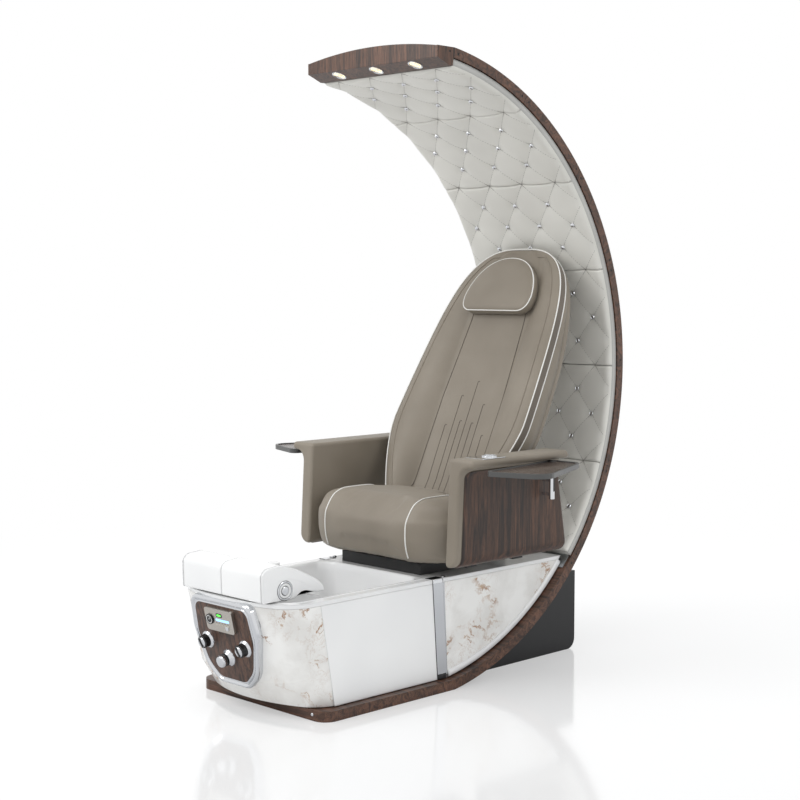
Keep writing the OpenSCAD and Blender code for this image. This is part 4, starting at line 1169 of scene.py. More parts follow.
@dataclass
class Controls:
    """The chrome bezel, walnut fascia, display pod and water valves on the tub's front."""

    nodes: dict[str, Piece]
    width: float = 0.324
    height: float = 0.298
    top: float = -0.010
    rim: float = 0.020
    pod_row: float = -0.0765
    face: float = 0.020
    fascia_z: float = 0.008
    valve_x: float = 0.096
    valve_row: float = -0.162
    diverter_row: float = -0.210
    dial_x: float = -0.0465
    key_pitch: float = 0.0145

    def outline(self, grow: float, steps: int = 12) -> list[Flat]:
        """The bezel's outline, grown outwards by a distance.

        Args:
            grow: how far it is grown.
            steps: points along each corner.

        Returns:
            The outline.
        """
        w, t, b = self.width / 2 + grow, self.top + grow, self.top - self.height - grow
        return rounded([(-w * 0.93, t, 0.030), (-w, t - 0.11, 0.090), (-w * 0.8, b + 0.046, 0.090),
                        (-w * 0.46, b, 0.044),
                        (w * 0.46, b, 0.044), (w * 0.8, b + 0.046, 0.090), (w, t - 0.11, 0.090), (w * 0.93, t, 0.030)],
                        steps)

    def bezel(self) -> Piece:
        """The polished frame: an outer bead, a hollow and an inner bead.

        Returns:
            The frame.
        """
        place = AT.front_matrix()
        section = [(0.001, -0.024), (0.001, 0.001), (0.0, 0.0050), (-0.0025, 0.0088), (-0.0055, 0.0100),
                   (-0.0085, 0.0092), (-0.0108, 0.0066),
                   (-0.0122, 0.0036), (-0.0140, 0.0034), (-0.0152, 0.0062), (-0.0175, 0.0080), (-0.0200, 0.0074),
                   (-0.0215, 0.0050), (-0.0217, 0.0020)]
        rings = [[tuple(place @ Vector((x, y, z))) for x, y in self.outline(grow)] for grow, z in section]
        return fit(crisp(lofted("bezel_frame", rings, caps=False), 60), CHROME, "base")

    def fascia(self) -> Piece:
        """The veneered face inside the bezel."""
        return slab("control_face", self.outline(-self.rim - 0.0002), 0.004, 0.0078, AT.front_matrix(), 0.0006)

    def valve(self, x: float, label: str) -> None:
        """One valve knob: bright skirt, black waisted grip and a bright cap.

        Args:
            x: its place across the panel.
            label: left or right.
        """
        place = AT.front_matrix() @ Matrix.Translation((x, self.valve_row, self.fascia_z))
        body = f"valve_{label}"
        skirt = lathe(f"{body}_skirt", [(0.030, -0.001), (0.030, 0.0015), (0.0282, 0.0045), (0.0245, 0.0075),
                                        (0.0235, 0.0085), (0.0215, 0.0088)], place)
        fit(skirt, CHROME, body)
        grip = lathe(f"{body}_grip", [(0.0225, 0.0075), (0.0228, 0.010), (0.0205, 0.016), (0.0215, 0.0225),
                                      (0.0215, 0.0262), (0.0198, 0.0278), (0.0168, 0.0282)], place, 24)
        fit(grip, GRIP, body)
        cap = lathe(f"{body}_cap", [(0.0172, 0.0275), (0.0172, 0.0295), (0.0155, 0.0315), (0.010, 0.0325),
                                    (0.0005, 0.0328)], place)
        fit(cap, CHROME, body)
        pointer = rounded([(-0.004, -0.017, 0.003), (0.004, -0.017, 0.003), (0.004, 0.017, 0.003),
                           (-0.004, 0.017, 0.003)])
        bar = slab(f"{body}_bar", pointer, 0.031, 0.0345, place @ Matrix.Rotation(math.radians(25), 4, "Z"), 0.0008)
        fit(bar, GRIP, body)
        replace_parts(skirt, f"valve_knob_{label}")

    def diverter(self) -> None:
        """The middle knob: flared skirt, black collar and a domed bright handle."""
        place = AT.front_matrix() @ Matrix.Translation((0, self.diverter_row, self.fascia_z))
        skirt = lathe("diverter_skirt", [(0.030, -0.001), (0.030, 0.002), (0.0275, 0.006), (0.021, 0.011),
                                         (0.0185, 0.017)], place)
        fit(skirt, CHROME, "diverter")
        collar = lathe("diverter_collar", [(0.0195, 0.0155), (0.0215, 0.017), (0.0215, 0.0235), (0.0195, 0.025)],
                       place, 24)
        fit(collar, GRIP, "diverter")
        dome = lathe("diverter_dome", [(0.019, 0.0245), (0.0205, 0.027), (0.0205, 0.036), (0.018, 0.0405),
                                       (0.0125, 0.0428), (0.0005, 0.0434)], place)
        fit(dome, CHROME, "diverter")
        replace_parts(dome, "diverter_knob")

    def display(self) -> None:
        """The pod's dial face, lit windows and key row."""
        place = AT.front_matrix() @ Matrix.Translation((0, self.pod_row, self.face))

        def box_at(name: str, x: float, y: float, w: float, h: float, rise: float, finish: Finish,
                   body: str = "base") -> None:
            """A thin raised plate on the pod's face.

            Args:
                name: its name.
                x: its middle across the pod.
                y: its middle up the pod.
                w: its width.
                h: its height.
                rise: how far it stands out.
                finish: its finish.
                body: the body it rides on.
            """
            r = min(w, h) * 0.3
            outline = rounded([(x - w / 2, y - h / 2, r), (x + w / 2, y - h / 2, r), (x + w / 2, y + h / 2, r),
                               (x - w / 2, y + h / 2, r)], 4)
            fit(slab(name, outline, -0.0005, rise, place), finish, body)

        box_at("display_window", 0.004, 0.019, 0.030, 0.013, 0.0006, GRIP)
        box_at("display_digits", 0.004, 0.019, 0.020, 0.006, 0.0009, GREEN_LED)
        box_at("status_strip", 0.018, 0.002, 0.068, 0.008, 0.0006, BLUE_LED)
        for k in range(5):
            box_at(f"pod_key_{k + 1}", -0.014 + k * self.key_pitch, -0.014, 0.0095, 0.0042, 0.0011, CHAMPAGNE)
            box_at(f"pod_mark_{k + 1}", -0.014 + k * self.key_pitch, -0.0072, 0.0065, 0.0016, 0.0004, INK)
        dial = AT.front_matrix() @ Matrix.Translation((self.dial_x, self.pod_row, self.face))
        ring = lathe("dial_ring", [(0.0176, 0.0006), (0.0176, 0.0042), (0.0165, 0.0052), (0.0145, 0.0052),
                                   (0.0138, 0.0045)], dial)
        fit(ring, GRIP, "dial")
        white = lathe("dial_scale", [(0.0140, 0.0044), (0.0140, 0.0047), (0.0118, 0.0047), (0.0118, 0.0044)], dial)
        fit(white, PALE_INK, "dial")
        hub = lathe("dial_hub", [(0.0118, 0.0042), (0.0112, 0.0050), (0.0062, 0.0052), (0.0005, 0.0053)], dial)
        fit(hub, BLACK_ABS, "dial")
        hand = slab("dial_hand", rounded([(-0.0009, 0.0, 0), (0.0009, 0.0, 0), (0.0006, 0.0105, 0),
                                          (-0.0006, 0.0105, 0)], 1), 0.0052, 0.0058,
                    dial @ Matrix.Rotation(math.radians(-40), 4, "Z"))
        fit(hand, PALE_INK, "dial")

    def build(self) -> None:
        """Builds and dresses the control panel."""
        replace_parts(fit(self.fascia(), WALNUT_UP, "base"), "control_fascia")
        dress(self.nodes, ["display_pod"], NICKEL)
        dress(self.nodes, ["mode_dial"], BLACK_ABS)
        dress(self.nodes, ["start_key"], CHROME)
        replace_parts(self.bezel(), "control_bezel")
        self.valve(self.valve_x, "left")
        self.valve(-self.valve_x, "right")
        self.diverter()
        self.display()


@dataclass
class Footrest:
    """The split footrest with its pivot roses."""

    nodes: dict[str, Piece]
    pivot_y: float = -0.74394
    pivot_z: float = 0.423
    half: float = 0.2095
    gap: float = 0.0015
    cheek: float = 0.011

    def pad(self, side: int, name: str) -> Piece:
        """One moulded pad with its cheek round the pivot and softly rounded outer edges.

        Args:
            side: 1 for the left pad, -1 for the right.
            name: its name.

        Returns:
            The pad.
        """
        crest = [(-0.090, 0.004, 0.006), (-0.094, 0.110, 0.030), (-0.014, 0.118, 0.080), (0.052, 0.097, 0.060),
                 (0.132, 0.058, 0.060), (0.162, 0.034, 0.012), (0.170, 0.013, 0.005)]
        top_foot = [(0.138, 0.013, 0.008), (0.063, 0.054, 0.030), (0.018, 0.067, 0.010), (-0.036, 0.062, 0.010),
                    (-0.046, 0.004, 0.004)]
        cheek_foot = [(0.138, 0.011, 0.010), (0.075, 0.026, 0.040), (0.040, 0.0035, 0.030), (-0.020, 0.0035, 0.020),
                      (-0.046, 0.004, 0.004)]
        top, cheek = (rounded([(self.pivot_y + y, AT.rim_z + z, r) for y, z, r in crest + foot], 8)
                      for foot in (top_foot, cheek_foot))
        turn = Matrix(((0, 0, side, 0), (1, 0, 0, 0), (0, 1, 0, 0), (0, 0, 0, 1)))
        pieces = []
        for outline, low, high, soft_low, soft_high in (
                (top, self.gap, self.half - 0.0005, 0.0022, 0.0055),
                (cheek, self.half - self.cheek, self.half, 0.0005, 0.0035)):
            rings = [(low + at, inset) for at, inset in eased(soft_low)]
            rings += [(high - at, inset) for at, inset in eased(soft_high)[::-1]]
            pieces.append(lofted("part", [[tuple(turn @ Vector((py, pz, at))) for py, pz in shrunk(outline, inset)]
                                          for at, inset in rings]))
        return crisp(join(name, pieces), 45)

    def build(self) -> None:
        """Builds the pads and adds the pivot roses, with dark rings painted as shade round the chrome ring and inside
        the cap.
        """
        dress(self.nodes, ["footrest_base"], ACRYLIC)
        dress(self.nodes, ["footrest_axle"], CHROME)
        for side, body in ((1, "footrest_left"), (-1, "footrest_right")):
            place = Matrix.Translation((side * self.half, self.pivot_y, self.pivot_z)) @ sideways(side)
            label = side_name(side)
            pad = self.pad(side, f"foot_pad_{label}")
            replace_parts(fit(pad, ACRYLIC, body), f"footrest_pad_{label}")
            # The graphite gap and inner rings are painted shade round the chrome ring and between the cap and the
            # chrome centre.
            for part, outline, finish, slot in (
                    ("gap", [(0.0325, -0.001), (0.0325, 0.0004), (0.0310, 0.0005), (0.0245, 0.0005), (0.0245, -0.001)],
                     GRAPHITE, "chrome"),
                    ("ring", [(0.0312, -0.001), (0.0312, 0.0014), (0.0296, 0.0032), (0.0268, 0.0032), (0.0254, 0.0012),
                              (0.0254, -0.001)], CHROME, "chrome"),
                    ("cap", [(0.0246, -0.001), (0.0246, 0.0016), (0.0225, 0.0034), (0.0190, 0.0030), (0.0165, 0.0016),
                             (0.0160, 0.0002)], ACRYLIC, "white_acrylic"),
                    ("inner", [(0.0165, 0.0002), (0.0158, 0.0010), (0.0146, 0.0010), (0.0140, 0.0002)], GRAPHITE,
                     "chrome"),
                    ("centre", [(0.0142, -0.001), (0.0142, 0.0022), (0.0128, 0.0040), (0.0080, 0.0044),
                                (0.0005, 0.0045)], CHROME, "chrome")):
                fit(lathe(f"pivot_{part}_{label}", outline, place), finish, body)


@dataclass
class Seat:
    """The seat cushion with its piping, its carriage and the plinth below."""

    nodes: dict[str, Piece]
    half: float = 0.334
    piping: float = 0.204
    low: float = 0.440
    height: float = 0.184
    crown: float = 0.030
    depth: float = 0.292
    bow: float = 0.092
    tongue: float = 0.058
    tongue_half: float = 0.150

    def front(self, x: float) -> float:
        """Y of the cushion's front edge at x."""
        past = max(0.0, abs(x) - self.piping + 0.01) / (self.half - self.piping + 0.01)
        return AT.seat_front_y + self.bow * past ** 2

    def rear(self, x: float) -> float:
        """Y of the cushion's rear edge at x, with its tongue under the back."""
        return AT.seat_front_y + self.depth + self.tongue * max(0.0, 1 - (x / self.tongue_half) ** 4) ** 0.5

    def top(self, x: float, v: float) -> float:
        """Height of the cushion's top at x, a share v of the way back.

        Args:
            x: distance from the middle.
            v: share of the way to the rear edge.

        Returns:
            The height above the floor.
        """
        rise = self.crown * (1 - (x / self.half) ** 4) * (1 - (2 * v - 1) ** 4)
        rise -= 0.044 * (max(0.0, 0.22 - v) / 0.22) ** 2.2 + 0.016 * (max(0.0, v - 0.86) / 0.14) ** 2
        rise -= 0.022 * (abs(x) / self.half) ** 8
        crease = 0.004 * math.exp(-((abs(x) - self.piping) / 0.007) ** 2)
        return self.low + self.height + rise - crease

    def cushion(self) -> Piece:
        """The crowned cushion, closed all round.

        Returns:
            The cushion.
        """
        columns, rows = 61, 33
        points: list[Point] = []
        vs = [(0.5 - 0.5 * math.cos(math.pi * j / (rows - 1))) for j in range(rows)]
        for v in vs:
            for i in range(columns):
                x = self.half * math.sin(math.pi / 2 * (2 * i / (columns - 1) - 1))
                y0, y1 = self.front(x), self.rear(x)
                points.append((x, y0 + (y1 - y0) * v, self.top(x, v)))
        faces = grid_faces(columns, rows)
        loop = border_loop(columns, rows)
        middle = AT.seat_front_y + self.depth / 2
        previous = loop
        for z, inset in ((0.58, -0.002), (0.55, -0.004), (0.51, -0.004), (0.475, 0.0), (0.452, 0.006), (0.4415, 0.016)):
            ring = []
            for index in loop:
                x, y, _ = points[index]
                ring.append(len(points))
                k = max(-1.0, min(1.0, (y - middle) / 0.09))
                points.append((x * (1 - inset / self.half), y - inset * k, z))
            faces += band_faces(previous, ring)
            previous = ring
        points.append((0, middle, 0.4405))
        faces += fan_faces(previous, len(points) - 1)
        return new_mesh("seat_pad", points, faces)

    def welts(self, surface: BVHTree) -> None:
        """Piping down the two lines of the seat and round its front bolster.

        Args:
            surface: the cushion's surface.
        """
        for side in (-1, 1):
            path: list[Point] = []
            x = side * self.piping
            front = AT.seat_front_y - 0.02
            for z in np.linspace(0.456, 0.585, 16):
                hit = surface.ray_cast(Vector((x, front - 0.1, z)), Vector((0, 1, 0)))[0]
                if hit:
                    path.append((x, hit.y - 0.0015, z))
            for y in np.linspace(AT.seat_front_y + 0.004, AT.seat_front_y + 0.282, 44):
                hit = surface.ray_cast(Vector((x, y, 0.9)), Vector((0, 0, -1)))[0]
                if hit:
                    path.append((x, y, hit.z + 0.0015))
            fit(tube(f"seat_piping_{side_name(side)}", smoothed(path), AT.welt_r), PIPING, "seat")

    def build(self) -> None:
        """Builds the cushion and dresses what carries it."""
        pad = self.cushion()
        inflate(pad, 0.006, 0.007, 2.0)
        fit(pad, TAUPE, "seat")
        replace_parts(pad, "seat_cushion")
        surface = BVHTree.FromObject(pad, bpy.context.evaluated_depsgraph_get())
        self.welts(surface)
        dress(self.nodes, ["seat_plinth", "seat_carriage"], BLACK_COAT)
        dress(self.nodes, ["slide_rails"], BRUSHED)


def smoothed(path: Sequence[Point], passes: int = 4) -> list[Point]:
    """A path with its inner points averaged with their neighbours.

    Args:
        path: the points.
        passes: how often they are averaged.

    Returns:
        The smoothed points.
    """
    pts = [Vector(p) for p in path]
    for _ in range(passes):
        pts = [pts[0], *[(pts[i - 1] + pts[i] * 2 + pts[i + 1]) / 4 for i in range(1, len(pts) - 1)], pts[-1]]
    return [tuple(p) for p in pts]


@dataclass
class Back:
    """The scooped massage back with its piped band, shell and pillow."""

    nodes: dict[str, Piece]
    wide: float = 0.324
    low_half: float = 0.205
    wide_s: float = 0.329
    scoop: float = 0.078
    channel: float = 0.150
    band: float = 0.092
    band_top: float = 0.024
    taper: float = 0.600
    top_s: float = 1.066
    shell_foot: float = 0.086
    shell_top: float = 1.064
    pillow_s: float = 0.782
    pillow_w: float = 0.169
    pillow_h: float = 0.226
    pillow_welt: float = -0.0355
    face_count: int = field(default=0, init=False)
    edge_faces: int = field(default=0, init=False)

    def half(self, s: float) -> float:
        """Half the back's width at height s.

        Args:
            s: height up the back.

        Returns:
            Half the width.
        """
        if s < self.wide_s:
            return self.wide - (self.wide - self.low_half) * ((self.wide_s - s) / self.wide_s) ** 1.55
        t = (s - self.wide_s) / (AT.back_len - self.wide_s)
        return self.wide * (1 - 0.2 * t ** 1.3) * max(0.0, 1 - t ** 6) ** (1 / 2.8)

    def band_at(self, s: float) -> float:
        """Depth of the cushion behind its piping at height s."""
        past = max(0.0, s - self.taper) / (AT.back_len - self.taper)
        return self.band - (self.band - self.band_top) * past

    def welt_gap(self, s: float) -> float:
        """Depth of the rear piping behind the front one at height s."""
        return min(0.034, 0.9 * self.band_at(s))

    def depth(self, s: float) -> float:
        """Depth of the body channel at height s.

        Args:
            s: height up the back.

        Returns:
            The depth.
        """
        if s < 0.76:
            return self.scoop - (self.scoop - 0.020) * (max(0.0, s - 0.12) / 0.64) ** 0.9
        return 0.020 * max(0.0, 1 - (s - 0.76) / 0.12)

    def face(self, u: float, s: float) -> float:
        """Depth of the front face behind the piping plane at share u of the half width.

        Args:
            u: share of the half width, -1 to 1.
            s: height up the back.

        Returns:
            The depth behind the piping plane.
        """
        b = max(0.0, abs(u) - 0.5) / 0.5
        lobes = 0.020 * math.sin(math.pi * min(1.0, b)) * min(1.0, (AT.back_len - s) / 0.42)
        if abs(u) <= 0.5:
            return self.depth(s) * (1 - 0.28 * (2 * abs(u)) ** 6) - 0.008 * (1 - (2 * abs(u)) ** 8)
        return self.depth(s) * 0.72 * (1 - b) ** 1.6 - lobes

    def across(self, u: float, s: float) -> float:
        """X of the share u across the back at height s.

        Args:
            u: share of the half width, -1 to 1.
            s: height up the back.

        Returns:
            The distance from the middle.
        """
        w = self.half(s)
        c = min(self.channel, 0.6 * w)
        return u / 0.5 * c if abs(u) <= 0.5 else math.copysign(c + (w - c) * (abs(u) - 0.5) / 0.5, u)

    def cushion(self) -> Piece:
        """The front cushion with its band, closed behind.

        Returns:
            The cushion.
        """
        us = [math.sin(math.pi / 2 * (2 * i / 72 - 1)) for i in range(73)]
        ss = [self.top_s * (0.5 - 0.5 * math.cos(math.pi * j / 84)) for j in range(85)]
        points: list[Point] = []
        for s in ss:
            for u in us:
                rim = min(1.0, (1 - abs(u)) / 0.06, s / 0.03, (self.top_s - s) / 0.03)
                soft = math.sin(math.pi / 2 * max(0.0, rim)) ** 0.7
                points.append((self.across(u, s), 0.003 * (1 - soft) + self.face(u, s) * soft, s))
        wide, tall = len(us), len(ss)
        faces = grid_faces(wide, tall)
        self.face_count = len(faces)
        loop = border_loop(wide, tall)
        self.edge_faces = 4 * len(loop)
        previous = loop
        for share, swell in ((0.12, 0.0015), (0.35, 0.003), (0.75, 0.003), (1.0, 0.002), (1.3, 0.004), (1.8, 0.003),
                             (9.0, -0.001)):
            ring = []
            for index in loop:
                x, _, s = points[index]
                w = max(self.half(s), 0.02)
                ring.append(len(points))
                points.append((x * (1 + swell / w), min(self.welt_gap(s) * share, self.band_at(s) * 0.97), s))
            faces += band_faces(previous, ring)
            previous = ring
        points.append((0, self.band_at(0.55) * 0.97, 0.55))
        faces += fan_faces(previous, len(points) - 1)
        return new_mesh("back_pad", [AT.on_back(*p) for p in points], faces)

    def shell(self) -> Piece:
        """The upholstered shell behind the band.

        Returns:
            The shell's cover.
        """
        stations = [(1.07, 0.048), (1.0, 0.085), (0.95, 0.100), (0.85, 0.117), (0.72, 0.135), (0.56, 0.138),
                    (0.42, 0.140),
                    (0.28, 0.132), (0.16, 0.124), (0.086, 0.108)]
        rings = []
        for s in [self.shell_foot + (self.shell_top - self.shell_foot) * k / 60 for k in range(61)]:
            upper = next(i for i in range(len(stations) - 1) if stations[i + 1][0] <= s + 1e-9)
            (s1, d1), (s0, d0) = stations[upper], stations[upper + 1]
            deep = d0 + (d1 - d0) * (s - s0) / (s1 - s0)
            w, near = self.half(s) - 0.003, self.band_at(s)
            ring = []
            for k in range(41):
                t = math.pi * k / 40
                cos, sin = math.cos(t), math.sin(t)
                x = math.copysign(abs(cos) ** 0.5, cos) * w
                ring.append(AT.on_back(x, near + max(0.0, deep - near) * sin ** 0.45, s))
            rings.append(ring)
        return lofted("back_rear_cover", rings)

    def border(self, inset: float, lift: float, low: float = 0.02, high: float = 1.07) -> list[Point]:
        """A line that runs up one side of the back, over its top and down the other.

        Args:
            inset: distance inside the back's outline.
            lift: depth behind the piping plane, or a share of the gap between pipings if it is over 0.5.
            low: height at which it starts and ends.
            high: height that it reaches at the middle.

        Returns:
            The line's points.
        """
        right: list[Flat] = []
        for k in range(81):
            s = low + (high - low) * (1 - (1 - k / 80) ** 2)
            right.append((max(0.0, self.half(s) - inset), s))
        line = right + [(-x, s) for x, s in right[::-1][1:]]
        return [AT.on_back(x, lift * self.welt_gap(s) if lift > 0.5 else lift, s) for x, s in line]

    def seams(self, surface: BVHTree) -> None:
        """Seams of the body channel and the short massage channels at the loins, drawn as dark lines painted as shade
        in their stitched grooves.

        Args:
            surface: the cushion's surface.
        """
        toward = Vector(AT.on_back(0, 1, 0)) - Vector(AT.on_back(0, 0, 0))
        lines: list[Piece] = []

        def draw(path: Sequence[Flat], radius: float = 0.0014) -> None:
            """Lays a seam over the face along (x, height) points.

            Args:
                path: the (x, height) points.
                radius: the seam's radius.
            """
            found = []
            for x, s in path:
                hit = surface.ray_cast(Vector(AT.on_back(x, -0.2, s)), toward)[0]
                if hit:
                    found.append(tuple(hit - toward * 0.0004))
            if len(found) > 2:
                lines.append(tube("seam", found, radius, sides=6))

        for side in (-1, 1):
            draw([(side * (0.150 - 0.022 * max(0.0, (s - 0.45) / 0.4)), s) for s in np.linspace(0.02, 0.80, 60)])
        channels = ((-0.098, 0.330), (-0.060, 0.450), (-0.030, 0.350), (0.0, 0.510), (0.030, 0.345), (0.060, 0.420),
                    (0.098, 0.300))
        for x, top in channels:
            hook = [(x + 0.0045 * (1 - math.cos(t)), top + 0.0045 * math.sin(t)) for t in np.linspace(0, 2.6, 6)]
            draw([(x, s) for s in np.linspace(0.03, top, 40)] + hook, 0.0010)
        # The seams are real; their darker colour is painted shade in their grooves.
        fit(join("back_seams", lines), SEAM_SHADE, "back")

    def ridge(self, surface: BVHTree) -> None:
        """The raised seam just inside the outer piping.

        Args:
            surface: the cushion's surface.
        """
        toward = Vector(AT.on_back(0, 1, 0)) - Vector(AT.on_back(0, 0, 0))
        found = []
        for point in self.border(0.036, 0.0, 0.03, 1.035):
            hit = surface.ray_cast(Vector(point) - toward * 0.2, toward)[0]
            if hit:
                found.append(tuple(hit - toward * 0.0002))
        fit(tube("back_ridge", smoothed(found, 6), 0.0030), TAUPE, "back")

    def pillow(self) -> Piece:
        """The half-round head pillow with piping round its face.

        Returns:
            The pillow.
        """
        s0, wide, tall = self.pillow_s, self.pillow_w, self.pillow_h

        def half(v: float) -> float:
            """Half width at share v of its height."""
            return wide * max(0.0, 1 - max(0.0, v) ** 2.6) ** (1 / 2.1) * (1 - 0.06 * max(0.0, 0.18 - v) / 0.18)

        climb = [math.sin(t) for t in np.linspace(0.27, 1.54, 26)]
        outline: list[Flat] = rounded([(half(0.0), 0.0, 0.045)] + [(half(v), v * tall, 0.0) for v in climb]
                                      + [(-half(v), v * tall, 0.0) for v in climb[::-1]] + [(-half(0.0), 0.0, 0.045)],
                                      8)
        rings = []
        centre_s = tall * 0.44
        for share, out in ((1.0, -0.004), (1.012, -0.014), (1.016, -0.024), (1.006, -0.033), (0.985, -0.0385),
                           (0.94, -0.0425),
                           (0.85, -0.0455), (0.7, -0.0475), (0.5, -0.0485), (0.3, -0.049), (0.12, -0.0492)):
            rings.append([AT.on_back(x * share, out, s0 + centre_s + (s - centre_s) * share) for x, s in outline])
        made = lofted("head_pillow", rings)
        welt = [AT.on_back(x, self.pillow_welt, s0 + s) for x, s in outline]
        fit(tube("pillow_piping", welt, AT.welt_r, closed=True), PIPING, "back")
        return made

    def build(self) -> None:
        """Builds the back's pieces."""
        pad = self.cushion()
        fit(pad, TAUPE, "back")
        pad.data.materials.append(TAUPE_EDGE.material())
        for face in pad.data.polygons[self.face_count:self.face_count + self.edge_faces]:
            face.material_index = 1
        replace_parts(pad, "back_cushion")
        cover = self.shell()
        fit(cover, TAUPE, "back")
        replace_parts(cover, "back_shell")
        surface = BVHTree.FromObject(pad, bpy.context.evaluated_depsgraph_get())
        self.seams(surface)
        self.ridge(surface)
        fit(tube("back_front_piping", self.border(-0.001, 0.001), AT.welt_r), PIPING, "back")
        fit(tube("back_rear_piping", self.border(-0.0028, 1.0, 0.02), AT.welt_r), PIPING, "back")
        head = self.pillow()
        fit(head, TAUPE, "back")
        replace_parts(head, "headrest")


@dataclass
class Arms:
    """The two upholstered arms, their veneered sides, the switch plate, trays and posts."""

    nodes: dict[str, Piece]
    wall: float = 0.054
    top_w: float = 0.112
    length: float = 0.586
    front_lean: float = 3.2
    rear_lean: float = 10.0
    edge: float = 0.012
    under: float = 0.028
    inner_gap: float = 0.0015
    cove: float = 0.040
    corner: float = 0.038
    veneer_top: float = 0.765
    veneer_rise: float = 0.0036
    rear_margin: float = 0.004
    post_x: float = 0.440
    post_back: float = 0.450
    tray_z: float = 0.770
    post_z: float = 0.694
    rim: float = 0.0085

    def section(self, inset: float) -> list[Flat]:
        """The left arm's cross-section, (x, z), drawn in by a distance.

        Args:
            inset: how far it is drawn in.

        Returns:
            The outline.
        """
        inner = AT.arm_gap / 2
        x0, x1, x2 = inner + inset, inner + self.wall - self.inner_gap - inset, inner + self.top_w - inset
        z0, under, z1 = AT.arm_z0 + self.inner_gap + inset, AT.arm_z1 - self.under + inset, AT.arm_z1 - inset
        soft = self.edge + 0.0018 - inset
        return rounded([(x0, z0, soft), (x1, z0, self.corner - inset), (x1, under, self.cove + inset),
                        (x2, under, soft), (x2, z1, soft), (x0, z1, soft)], 8)

    def ends(self, z: float) -> Flat:
        """Y of the arm's leaning front and rear ends at a height.

        Args:
            z: height above the floor.

        Returns:
            Y of the front end and of the rear end.
        """
        up = z - AT.arm_z0
        return (AT.arm_y0 + up * math.tan(math.radians(self.front_lean)),
                AT.arm_y0 + self.length - up * math.tan(math.radians(self.rear_lean)))

    def arm(self, side: int) -> Piece:
        """One arm, left (1) or right (-1).

        Args:
            side: 1 for the left arm, -1 for the right.

        Returns:
            The arm.
        """
        soft = eased(self.edge)
        rings = []
        for d, inset in [*soft, *((self.length - d, inset) for d, inset in soft[::-1])]:
            ring = []
            for x, z in self.section(inset):
                front, rear = self.ends(z)
                ring.append((side * x, front + (rear - front) * d / self.length, z))
            rings.append(ring)
        return crisp(lofted(f"armrest_{side_name(side)}", rings), 55)

    def skin(self, q: float) -> tuple[Flat, Flat]:
        """A point on the arm's outer skin and its outward normal.

        Args:
            q: distance down the skin from the veneer's top edge.

        Returns:
            The (x, z) point and the (x, z) normal, for the left arm.
        """
        x, cove, corner = AT.arm_gap / 2 + self.wall - self.inner_gap, self.cove, self.corner
        cove_z, low = AT.arm_z1 - self.under - cove, AT.arm_z0 + self.inner_gap
        above = math.asin((self.veneer_top - cove_z) / cove)
        if q < above * cove:
            t = above - q / cove
            return (x + cove * (1 - math.cos(t)), cove_z + cove * math.sin(t)), (math.cos(t), -math.sin(t))
        q -= above * cove
        straight = cove_z - low - corner
        if q <= straight:
            return (x, cove_z - q), (1.0, 0.0)
        t = min((q - straight) / corner, math.pi / 2)
        past = q - straight - corner * t
        return (x - corner * (1 - math.cos(t)) - past, low + corner * (1 - math.sin(t))), (math.cos(t), -math.sin(t))

    def panel(self, side: int) -> tuple[Piece, list[Point]]:
        """The veneered outer panel, which wraps under the arm, and the line round its front and top edges where the
        gap's shade is painted.

        Args:
            side: 1 for the left panel, -1 for the right.

        Returns:
            The panel, and the line's points.
        """
        deep, corner, margin, columns = 0.356, 0.024, 0.026, 40
        marks = [0.0, 0.0012, 0.003, 0.0055, 0.008]
        downs = [*marks, *np.linspace(0.012, 0.05, 12), *np.linspace(0.06, deep - 0.014, 40),
                 *(deep - m for m in marks[::-1])]
        outer: list[Point] = []
        inner: list[Point] = []
        edge_line: list[Point] = []
        for q in downs:
            (x, z), (nx, nz) = self.skin(q)
            start = corner - math.sqrt(max(0.0, corner ** 2 - max(0.0, corner - q) ** 2))
            front, rear = self.ends(z)
            front, rear = front + margin + start, rear - self.rear_margin - start * 0.4
            along = [*marks, *np.linspace(0.014, rear - front - 0.014, columns),
                     *(rear - front - m for m in marks[::-1])]
            for d in along:
                near = min(d, rear - front - d, q + (d if start > 0 else 0.0), deep - q)
                rise = self.veneer_rise * math.sin(math.pi / 2 * min(1.0, max(0.0, near) / 0.008)) ** 0.6
                outer.append((side * (x + nx * rise), front + d, z + nz * rise))
                inner.append((side * (x - nx * 0.002), front + d, z - nz * 0.002))
            edge_line.append((side * (x + nx * 0.0004), front - 0.0006, z + nz * 0.0004))
        wide, tall = columns + 2 * len(marks), len(downs)
        top_line = [(px, py, pz + 0.0006) for px, py, pz in outer[:wide]]
        return crisp(two_sided(f"arm_veneer_{side_name(side)}", outer, inner, wide, tall), 50), [*edge_line[::-1],
                                                                                                 *top_line]

    def tray_top(self, side: int) -> None:
        """The smoked inlay in the tray's recess and the slot in its post.

        Args:
            side: 1 for the left tray, -1 for the right.
        """
        label = side_name(side)
        outline = rounded([(-0.017 + self.rim, 0.017 - self.rim, 0.006), (0.046 + self.rim, -0.406 + self.rim, 0.018),
                           (0.262 - self.rim, -0.334 + self.rim, 0.052), (0.112 - self.rim, 0.026 - self.rim, 0.042)],
                           10)
        outline = [(side * x, y) for x, y in outline][::side]
        place = Matrix.Translation((side * self.post_x, AT.arm_y0 + self.post_back, self.tray_z))
        fit(slab(f"tray_inlay_{label}", outline, -0.0002, 0.0009, place, 0.0003), SMOKED, f"tray_{label}")
        turn = Matrix.Translation((side * (self.post_x + 0.0098), AT.arm_y0 + self.post_back,
                                   self.post_z)) @ sideways(side)
        slot = rounded([(-0.030, -0.0032, 0.003), (0.030, -0.0032, 0.003), (0.030, 0.0032, 0.003),
                        (-0.030, 0.0032, 0.003)])
        fit(slab(f"post_slot_{label}", slot, -0.001, 0.0006, turn), BLACK_ABS, "base")

